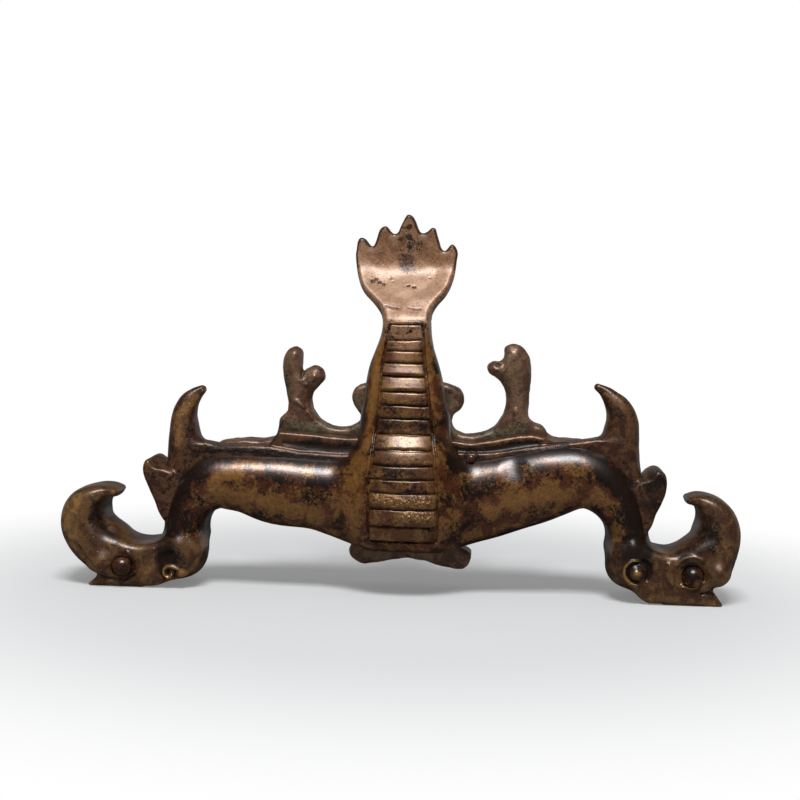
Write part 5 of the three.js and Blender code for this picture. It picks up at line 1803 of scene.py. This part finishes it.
@dataclass(frozen=True)
class Workshop:
    """What every sub-assembly needs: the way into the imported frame, the surroundings and the tools."""

    place: Place
    surroundings: Surroundings
    lathe: LatheTool
    scutes: ScuteTool

    def dress(self, made: bpy.types.Object, finish: Finish, *nodes: str) -> None:
        """Give a finished piece its material and tell the frame what it stands for.

        Args:
            made: The piece.
            finish: Its finish.
            nodes: The CAD nodes that it replaces, or none.
        """
        material = materials(finish)
        if not made.data.materials:
            made.data.materials.append(material)
        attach(made, "root")
        if nodes:
            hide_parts(*nodes)
        triangles = sum(len(face.vertices) - 2 for face in made.data.polygons)
        log.info("%s: %d triangles in %s", made.name, triangles, finish.name)

    def cast(self, cast: Cast, finish: Finish) -> bpy.types.Object:
        """Make one cast piece.

        Args:
            cast: The piece's form and marks.
            finish: Its finish.

        Returns:
            The dressed piece.
        """
        skin = cast.skin()
        values = self.surroundings.marks(skin.points) | cast.paint(skin.points)
        made = to_object(f"{cast.name}_cast", skin, self.place, values)
        self.dress(made, finish, cast.name)
        return made

    def fill_values(self, made: bpy.types.Object, paint: Paint) -> None:
        """Store the surroundings and other numbers on a piece made by a node tree."""
        points = np.array([vert.co for vert in made.data.vertices]) * MM - self.place.shift
        add_values(made.data, self.surroundings.marks(points) | paint(points))

    def turned(
        self, node: str, kind: str, profile: Rows, middle: tuple[float, ...], finish: Finish, paint: Paint,
        dent: float, seed: int,
    ) -> None:
        """Turn and dress the piece that stands for a node.

        Args:
            node: The CAD node.
            kind: What the piece is, which ends its name.
            profile: Radius and place along the axis, from one end to the other.
            middle: The axis's middle in the maker's frame.
            finish: Its finish.
            paint: The marks that colour it.
            dent: Height of its unevenness.
            seed: Which unevenness it is.
        """
        place = self.place.metres(middle)
        made = self.lathe.turn(f"{node}_{kind}", profile, place, materials(finish), dent, seed)
        self.fill_values(made, paint)
        self.dress(made, finish, node)


@lru_cache(maxsize=None)
def materials(finish: Finish) -> bpy.types.Material:
    """The material of a finish, built once."""
    return finish.material()


def everywhere(keys: Array) -> Array:
    """Every place belongs to the piece."""
    return np.ones(len(keys), bool)


def unpainted(points: Array) -> dict[str, Array]:
    """No marks at all."""
    return coloured((), points[:, 0], points[:, 2])


class CastPiece:
    """A sub-assembly made of one casting, with a finish of its own."""

    finish: Finish

    def cast(self) -> Cast:
        """The casting with its marks."""
        raise NotImplementedError

    def build(self, shop: Workshop) -> None:
        """Make and dress the casting."""
        shop.cast(self.cast(), self.finish)


def skin_relief(points: Array) -> Array:
    """Unevenness of belly, necks and faces, in two sizes."""
    return 0.05 * lumps(points, 6.0, 1) + 0.16 * lumps(points, 14.0, 2)


@dataclass(frozen=True)
class Neck(CastPiece):
    """One arched neck."""

    side: SideForm
    finish: Finish

    def cast(self) -> Cast:
        """The neck with its marks."""
        side = self.side
        ends = sorted((side.sign * (side.foot + 10), side.sign * (side.root - 3)))
        box = ((ends[0], -11.0, side.joint - 3), (ends[1], 11.0, 41.0))

        def owns(keys: Array) -> Array:
            """Whether each place belongs to the neck."""
            middle = side.sign * keys[:, 0]
            out = middle - side.foot
            return (middle > side.root) & ~((out > side.crook) | ((keys[:, 2] < side.joint) & (out > -12)))

        return Cast(f"{side.name}_neck", casting(BELLY, side), box, owns, skin_marks, skin_relief)


@dataclass(frozen=True)
class Head(CastPiece):
    """One head with its two bead eyes."""

    side: SideForm
    finish: Finish
    eye_finish: Finish

    def cast(self) -> Cast:
        """The head with its marks."""
        side = self.side
        ends = sorted((side.sign * (side.foot - 13), side.sign * (side.foot + 33)))
        box = ((ends[0], -11.0, -2.0), (ends[1], 11.0, 30.0))

        def owns(keys: Array) -> Array:
            """Whether each place belongs to the head."""
            out = side.sign * keys[:, 0] - side.foot
            return (out > side.crook) | ((keys[:, 2] < side.joint) & (out > -12))

        return Cast(f"{side.name}_head", casting(side), box, owns, skin_marks, skin_relief)

    def build(self, shop: Workshop) -> None:
        """Make and dress the head and its eyes."""
        super().build(shop)
        side = self.side
        out, z, radius = side.eye
        floor = HEAD_HALF - EYE_SINK - side.socket
        turns = np.linspace(0, math.pi, 22)
        profile = tuple((max(radius * math.sin(t), 0.0), radius * -math.cos(t)) for t in turns)
        for turn, where in ((-1, "front"), (1, "rear")):
            middle = (side.sign * (side.foot + out), turn * (floor + radius), z)
            node = f"{side.name}_{where}_eye"
            shop.turned(node, "bead", profile, middle, self.eye_finish, skin_marks, 0.22, 3 + turn)


@dataclass(frozen=True)
class Crest(CastPiece):
    """The ledge, ridge, horn and ear that stand on one neck."""

    side: SideForm
    finish: Finish

    def cast(self) -> Cast:
        """The crest with its marks."""
        side = self.side
        ends = sorted((side.sign * 7, side.sign * (side.foot + 12)))
        box = ((ends[0], -8.0, 13.0), (ends[1], 8.0, 54.0))

        def paint(points: Array) -> dict[str, Array]:
            """The crest's marks."""
            return coloured(side.crest_marks, side.sign * points[:, 0], points[:, 2], ease(-points[:, 1], -1, 2))

        def form(x: Array, y: Array, z: Array) -> Array:
            """The crest, kept out of the belly."""
            return np.maximum(side.crest_field(x, y, z), -BURIED - BELLY.field(x, y, z))

        def rise(points: Array) -> Array:
            """Unevenness left by the chaser."""
            return 0.08 * lumps(points, 2.5, 1)

        return Cast(f"{side.name}_crest", form, box, everywhere, paint, rise)


@dataclass(frozen=True)
class Body(CastPiece):
    """Belly and stalk, with scute plates laid in their panel."""

    finish: Finish
    scute_finish: Finish
    seam: float = WAIST + 0.9
    gap: float = 0.26
    rise: float = 0.08
    wobble: float = 0.4
    tilt: Rows = (
        (14, 0.15), (19, 0.4), (24, 0.45), (27, 0.15), (46, 0.12), (49, 0.3), (55, 0.36), (58, 0.2), (66, 0.12),
    )

    def cast(self) -> Cast:
        """Belly and stalk with the sunk panel."""
        whole = casting(BELLY, LEFT, RIGHT, FAN)

        def form(x: Array, y: Array, z: Array) -> Array:
            """The body with its panel sunk."""
            return BELLY.pocket(whole(x, y, z), x, y, z)

        def owns(keys: Array) -> Array:
            """Whether each place belongs to the body."""
            x = keys[:, 0]
            return (x < RIGHT.root) & (x > -LEFT.root) & (keys[:, 2] < self.seam)

        box = ((-LEFT.root - 3, -17.0, 9.0), (RIGHT.root + 3, 11.0, self.seam + 1.5))
        return Cast("body", form, box, owns, skin_marks, skin_relief)

    def skin(self, shop: Workshop) -> bpy.types.Object:
        """The unsunk front of the body, which the scutes are pressed on."""
        whole = casting(BELLY, LEFT, RIGHT, FAN)
        x, z = np.meshgrid(np.arange(-9, 12, 0.5), np.arange(SCUTE_FOOT - 1, WAIST + 1.5, 0.5), indexing="ij")
        rows, columns = x.shape
        x, z = x.ravel(), z.ravel()
        y = np.full_like(x, -19.0)
        for _ in range(50):
            y = np.minimum(y + 0.9 * whole(x, y, z), 0.0)
        points = shop.place.metres(np.stack([x, y, z], axis=1))
        grid = np.arange(rows * columns).reshape(rows, columns)
        corners = (grid[:-1, :-1], grid[1:, :-1], grid[1:, 1:], grid[:-1, 1:])
        quads = np.stack([corner.ravel() for corner in corners], axis=1)
        mesh = bpy.data.meshes.new("belly_skin")
        mesh.from_pydata(points.tolist(), [], quads.tolist())
        mesh.shade_smooth()
        return new_object("belly_skin", mesh)

    def build(self, shop: Workshop) -> None:
        """Make and dress the body, then its scutes."""
        super().build(shop)
        lines = np.array(BELLY.lines())
        low, high = lines[:-1], lines[1:]
        middle = (low + high) / 2
        stations = bpy.data.meshes.new("stations")
        stations.from_pydata([(0.0, 0.0, float(z) / MM) for z in low], [], [])
        sizes = {
            "low": low, "high": high, "half_low": BELLY.panel(low), "half_high": BELLY.panel(high),
            "middle": BELLY.middle(middle) + float(shop.place.shift[0]), "tilt": through(self.tilt, middle),
        }
        add_values(stations, {name: numbers / MM for name, numbers in sizes.items()})
        skin = self.skin(shop)
        values = {
            "Skin": skin, "Gap": self.gap / MM, "Rise": self.rise / MM, "Wobble": self.wobble / MM,
            "Finish": materials(self.scute_finish),
        }
        made = shop.scutes.run("belly_scutes", stations, values)
        bpy.data.objects.remove(skin)
        layers = made.data.attributes
        border = np.zeros(len(made.data.vertices))
        layers["border"].data.foreach_get("value", border)
        for name in [item.name for item in layers]:
            if name in ("at", "border", *sizes):
                layers.remove(layers[name])
        rim = {"edge": ease(border, 0.15, 0.5) * ease(border, 1.0, 0.7), "groove": ease(border, 0.6, 1.0)}
        shop.fill_values(made, lambda points: coloured(BELLY.marks, points[:, 0], points[:, 2]) | rim)
        shop.dress(made, self.scute_finish)


@dataclass(frozen=True)
class TailFan(CastPiece):
    """The dished fan tail with its five lobes."""

    finish: Finish
    seam: float = WAIST + 0.9

    def cast(self) -> Cast:
        """The fan with its marks."""

        def owns(keys: Array) -> Array:
            """Whether each place belongs to the fan."""
            return keys[:, 2] > self.seam

        def paint(points: Array) -> dict[str, Array]:
            """The fan's marks on its front."""
            across, length, depth = FAN.flat(*points.T)
            values = coloured(FAN.marks, across, length, (depth < FAN.thick / 2) * 1.0)
            edge = outline_distance(FAN.outline(FAN.edge, FAN.spread), across, length)
            # A darker rim round the lobes: dark patina on the rounded edge, and partly painted shade where the edge
            # turns away.
            rim = ease(edge, -0.75, -0.25) * (0.4 + 1.0 * ease(length, 15, 19))
            return values | {"tint": values["tint"] - rim}

        def rise(points: Array) -> Array:
            """Two sizes of unevenness."""
            return 0.12 * lumps(points, 3.2, 1) + 0.16 * lumps(points, 8.0, 4)

        box = ((-15.0, -9.0, self.seam - 3), (15.0, 16.0, 95.0))
        return Cast("tail_fan", casting(BELLY, FAN), box, owns, paint, rise)


@dataclass(frozen=True)
class BackPlate(CastPiece):
    """The rough plate behind the dragon, with its pegs and notches."""

    finish: Finish
    lump_height: float = 0.14
    lump_size: float = 2.2

    def cast(self) -> Cast:
        """The plate with its marks and lumps."""

        def paint(points: Array) -> dict[str, Array]:
            """The plate's marks."""
            return coloured(PLATE.marks, points[:, 0], points[:, 2], ease(-points[:, 1], -9, -5))

        def rise(points: Array) -> Array:
            """Two sizes of lumps."""
            coarse = lumps(points, self.lump_size, 5) * self.lump_height
            return coarse + lumps(points, self.lump_size / 2.4, 6) * self.lump_height * 0.45

        box = ((-50.0, 0.5, 3.0), (50.0, 12.0, 63.0))
        return Cast("back_plate", PLATE.field, box, everywhere, paint, rise, 0.4)


@dataclass(frozen=True)
class Rivets:
    """Four rivets set from the back. One of them shows a small bead in front."""

    finish: Finish
    bead_finish: Finish
    shank: float = 0.9
    head: float = 2.0
    dome: float = 0.8
    bead: float = 1.05
    places: tuple[tuple[str, float, float, float], ...] = (
        ("left_rivet", -15.5, 33.0, -2.5),
        ("right_rivet", 17.1, 33.2, -4.9),
        ("belly_rivet", 1.3, 20.0, -5.0),
        ("stalk_rivet", 1.0, 46.0, -3.0),
    )

    def profile(self, tip: float, bead: bool) -> Rows:
        """Radius and depth from the rivet's front end to its head."""
        turn = np.linspace(0, math.pi / 2, 8)
        seat = PLATE_REAR + 0.25
        rows = [(0.0, tip), (self.shank, tip)]
        if bead:
            rows = [(self.bead * math.sin(t), tip - self.bead * 0.8 * math.cos(t)) for t in turn]
            rows.append((self.shank, tip + 0.1))
        rows += [(self.shank, seat), (self.head * 0.96, seat)]
        rows += [(self.head * math.cos(t), seat + 0.1 + self.dome * math.sin(t)) for t in turn]
        return tuple((max(radius, 0.0) if radius > 1e-9 else 0.0, along) for radius, along in rows)

    def build(self, shop: Workshop) -> None:
        """Make and dress the rivets."""
        for seed, (node, x, z, tip) in enumerate(self.places):
            bead = node == "right_rivet"
            finish = self.bead_finish if bead else self.finish
            shop.turned(node, "turned", self.profile(tip, bead), (x, 0.0, z), finish, unpainted, 0.12, seed)


# Finishes

POLISHED = Finish(
    name="polished_patina", slot=Slot.POLISHED, main=(0.21, 0.092, 0.021), second=(0.10, 0.028, 0.008),
    dark=(0.009, 0.0035, 0.0018), rubbed=(0.38, 0.17, 0.042), grime_and_shade=(0.016, 0.0062, 0.003), second_share=0.58,
    dark_share=0.45, rub=0.25, roughness=0.33, worn_roughness=0.32, dull_roughness=0.36, coat=0.8,
    coat_roughness=0.26, grain=0.022, pit_share=0.08, seed=1.0,
)
BROWN = Finish(
    name="brown_patina", slot=Slot.BROWN, main=(0.15, 0.074, 0.027), second=(0.085, 0.034, 0.014),
    dark=(0.012, 0.006, 0.0032), rubbed=(0.40, 0.215, 0.06), grime_and_shade=(0.018, 0.009, 0.005), patch_size=4.4,
    second_share=0.55, dark_share=0.28, rub=0.55, green_share=0.1, roughness=0.38, worn_roughness=0.32,
    dull_roughness=0.42, coat=0.5, coat_roughness=0.3, grain=0.024, grain_size=0.5, pit_share=0.18, seed=1.0,
    verdigris=(0.09, 0.085, 0.05),
)
CREST_BROWN = Finish(
    name="crest_patina", slot=Slot.BROWN, main=(0.125, 0.054, 0.021), second=(0.064, 0.022, 0.010),
    dark=(0.012, 0.006, 0.0035), rubbed=(0.40, 0.20, 0.062), grime_and_shade=(0.026, 0.014, 0.009), dark_share=0.36, rub=0.5,
    roughness=0.38, worn_roughness=0.36, dull_roughness=0.52, coat=0.38, coat_roughness=0.32, grain=0.034,
    grain_size=0.45, pit_share=0.2, pit_depth=0.08, seed=3.0,
)
COPPERY = Finish(
    name="coppery_patina", slot=Slot.COPPERY, main=(0.36, 0.19, 0.10), second=(0.28, 0.125, 0.058),
    dark=(0.028, 0.012, 0.007), rubbed=(0.46, 0.30, 0.20), grime_and_shade=(0.07, 0.03, 0.013), patch_size=3.6, speck_size=0.5,
    second_share=0.42, dark_share=0.24, rub=0.4, metallic=0.2, roughness=0.42, worn_roughness=0.4,
    dull_roughness=0.44, coat=0.6, coat_roughness=0.34, grain=0.022, grain_size=0.4, pit_share=0.2, pit_depth=0.06,
    pit_size=0.5, seed=4.0,
)
SCUTE = Finish(
    name="scute_patina", slot=Slot.POLISHED, main=(0.215, 0.104, 0.030), second=(0.13, 0.047, 0.015),
    dark=(0.012, 0.0055, 0.003), rubbed=(0.40, 0.21, 0.075), grime_and_shade=(0.016, 0.007, 0.004), second_share=0.55,
    dark_share=0.36, rub=0.6, metallic=0.35, roughness=0.36, worn_roughness=0.34, dull_roughness=0.36, coat=0.7,
    coat_roughness=0.28, grain=0.02, grain_size=0.4, pit_share=0.16, pit_depth=0.07, seed=5.0,
)
ROUGH = Finish(
    name="rough_patina", slot=Slot.ROUGH, main=(0.20, 0.112, 0.062), second=(0.13, 0.058, 0.032),
    dark=(0.026, 0.015, 0.010), rubbed=(0.38, 0.24, 0.14), grime_and_shade=(0.075, 0.052, 0.03), patch_size=4.4, speck_size=0.7,
    dark_share=0.3, rub=0.35, green_share=0.25, roughness=0.42, worn_roughness=0.38, dull_roughness=0.55, coat=0.45,
    coat_roughness=0.32, grain=0.034, grain_size=0.6, pit_share=0.2, pit_depth=0.08, pit_size=0.9, seed=6.0,
    verdigris=(0.15, 0.14, 0.08),
)
EYE = Finish(
    name="eye_patina", slot=Slot.EYE, main=(0.14, 0.055, 0.022), second=(0.08, 0.026, 0.013),
    dark=(0.012, 0.0055, 0.0035), rubbed=(0.26, 0.14, 0.05), grime_and_shade=(0.018, 0.008, 0.005), patch_size=2.4,
    speck_size=0.4, dark_share=0.34, rub=0.2, grime_share=0.7, roughness=0.34, worn_roughness=0.3,
    dull_roughness=0.34, coat=0.6, coat_roughness=0.24, grain=0.02, grain_size=0.35, seed=7.0,
)
RIVET = Finish(
    name="rivet_patina", slot=Slot.RIVET, main=(0.12, 0.072, 0.038), second=(0.075, 0.036, 0.020),
    dark=(0.02, 0.012, 0.008), rubbed=(0.28, 0.18, 0.09), grime_and_shade=(0.03, 0.019, 0.012), patch_size=2.0, speck_size=0.4,
    green_share=0.2, roughness=0.42, coat=0.3, grain=0.02, seed=8.0, verdigris=(0.10, 0.10, 0.06),
)


# The studio


@dataclass(frozen=True)
class Camera:
    """A camera at the photograph's viewing angle. Place in millimetres, angles in degrees."""

    place: tuple[float, float, float] = (19.07, -385.5, 76.6)
    yaw: float = 2.9
    pitch: float = 4.47
    roll: float = 1.4
    lens: float = 72.0
    sensor: float = 36.0

    def build(self, place: Place) -> None:
        """Set up the camera."""
        data = bpy.data.cameras.new("camera")
        data.lens, data.sensor_width = self.lens, self.sensor
        data.clip_start, data.clip_end = 0.01, 50
        made = new_object("camera", data)
        yaw, pitch, roll = (math.radians(value) for value in (self.yaw, self.pitch, self.roll))
        ahead = np.array([-math.sin(yaw) * math.cos(pitch), math.cos(yaw) * math.cos(pitch), -math.sin(pitch)])
        level = np.array([math.cos(yaw), math.sin(yaw), 0.0])
        upright = np.cross(level, ahead)
        right = math.cos(roll) * level + math.sin(roll) * upright
        up = -math.sin(roll) * level + math.cos(roll) * upright
        turn = Matrix(np.stack([right, up, -ahead], axis=1).tolist()).to_4x4()
        made.matrix_world = Matrix.Translation(place.metres(self.place)) @ turn
        bpy.context.scene.camera = made


@dataclass(frozen=True)
class Studio:
    """A pale floor, a wide soft lamp above the front and a soft surround. Sizes in metres."""

    floor_half: float = 6.0
    floor_colour: Colour = (0.64, 0.65, 0.66)
    floor_gloss: Colour = (0.07, 0.07, 0.07)
    fade: tuple[float, float] = (0.065, 0.168)
    near_share: float = 0.19
    lamp_aim: float = 0.03
    lamp_distance: float = 0.9
    lamp_elevation: float = 63.0
    lamp_azimuth: float = 2.0
    lamp_size: tuple[float, float] = (0.34, 0.26)
    lamp_power: float = 7.2
    surround: float = 0.26
    gloss_surround: float = 0.035
    gloss_behind: float = 0.25

    def build(self) -> None:
        """Set up floor, lamp, world and view."""
        self.floor()
        self.lamp()
        self.world()
        scene = bpy.context.scene
        scene.view_settings.view_transform = "Standard"

    def floor(self) -> None:
        """A pale floor that fades into the white background."""
        half = self.floor_half
        mesh = bpy.data.meshes.new("floor")
        corners = [(-half, -half, 0.0), (half, -half, 0.0), (half, half, 0.0), (-half, half, 0.0)]
        mesh.from_pydata(corners, [], [(0, 1, 2, 3)])
        made = new_object("floor", mesh)
        material = bpy.data.materials.new("floor_paper")
        graph = node_graph(material)
        path = graph.add("ShaderNodeLightPath").outputs
        colour = graph.tint(path["Is Glossy Ray"], opaque(self.floor_colour), opaque(self.floor_gloss))
        paper = graph.add("ShaderNodeBsdfDiffuse", {"Color": colour}).outputs[0]
        white = graph.add("ShaderNodeEmission", {"Color": opaque((1, 1, 1)), "Strength": 1.0}).outputs[0]
        place = graph.add("ShaderNodeTexCoord").outputs["Object"]
        far = graph.add("ShaderNodeVectorMath", {0: place}, operation="LENGTH").outputs["Value"]
        behind = graph.fit(graph.add("ShaderNodeSeparateXYZ", {0: place}).outputs[1], 0.1, 0.4, (0, self.gloss_behind))
        reflected = graph.math("MAXIMUM", path["Is Glossy Ray"], path["Is Transmission Ray"])
        share = graph.times(graph.fit(far, *self.fade, (self.near_share, 1)), path["Is Camera Ray"])
        share = graph.math("MAXIMUM", share, graph.times(behind, reflected))
        mixed = graph.add("ShaderNodeMixShader", {0: share, 1: paper, 2: white}).outputs[0]
        graph.add("ShaderNodeOutputMaterial", {"Surface": mixed})
        mesh.materials.append(material)
        made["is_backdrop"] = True

    def lamp(self) -> None:
        """The soft lamp, which faces the middle of the rest."""
        data = bpy.data.lights.new("soft_lamp", "AREA")
        data.shape = "RECTANGLE"
        data.size, data.size_y = self.lamp_size
        data.energy = self.lamp_power
        made = new_object("soft_lamp", data)
        lift, turn = math.radians(self.lamp_elevation), math.radians(self.lamp_azimuth)
        out = np.array([math.sin(turn) * math.cos(lift), -math.cos(turn) * math.cos(lift), math.sin(lift)])
        side = np.array([math.cos(turn), math.sin(turn), 0.0])
        up = np.cross(out, side)
        facing = Matrix(np.stack([side, up, out], axis=1).tolist()).to_4x4()
        spot = out * self.lamp_distance + np.array([0.0, 0.0, self.lamp_aim])
        made.matrix_world = Matrix.Translation(spot) @ facing

    def world(self) -> None:
        """A soft surround, which is white where it is seen."""
        world = bpy.data.worlds.new("surround")
        bpy.context.scene.world = world
        graph = node_graph(world)
        direction = graph.add("ShaderNodeTexCoord").outputs["Generated"]
        height = graph.add("ShaderNodeSeparateXYZ", {0: direction}).outputs[2]
        path = graph.add("ShaderNodeLightPath").outputs
        reflected = graph.math("MAXIMUM", path["Is Glossy Ray"], path["Is Transmission Ray"])
        band = graph.fit(height, 0.12, 0.4, (1, 0))
        rear = graph.add("ShaderNodeSeparateXYZ", {0: direction}).outputs[1]
        behind = graph.fit(rear, 0.1, 0.6, (0, self.gloss_behind))
        shown = graph.times(graph.times(band, behind), reflected)
        shown = graph.math("MAXIMUM", path["Is Camera Ray"], shown)
        around = graph.blend(reflected, self.surround, self.gloss_surround)
        strength = graph.blend(shown, around, 1.0)
        back = graph.add("ShaderNodeBackground", {"Color": opaque((1, 1, 1)), "Strength": strength}).outputs[0]
        graph.add("ShaderNodeOutputWorld", {"Surface": back})


def box_rows() -> list[list[float]]:
    return [[float(value) for value in corner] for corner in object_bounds()]


def main(cad_box: list[list[float]]) -> None:
    """Build the whole rest.

    Args:
        cad_box: The CAD model's own box, from before anything was added. Not used.
    """
    logging.basicConfig(level=logging.INFO, format="%(message)s")
    place = Place()
    Camera().build(place)
    Studio().build()
    body = Body(POLISHED, SCUTE)
    fan = TailFan(COPPERY)
    plate = BackPlate(ROUGH)
    necks = [Neck(side, POLISHED) for side in SIDES]
    heads = [Head(side, BROWN, EYE) for side in SIDES]
    crests = [Crest(side, CREST_BROWN) for side in SIDES]
    castings = [body, fan, plate, *necks, *heads, *crests]
    surroundings = Surroundings(item.cast() for item in castings)
    shop = Workshop(place, surroundings, LatheTool(), ScuteTool())
    for item in [*castings, Rivets(RIVET, EYE)]:
        item.build(shop)
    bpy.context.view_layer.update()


if __name__ == "__main__":
    main(box_rows())
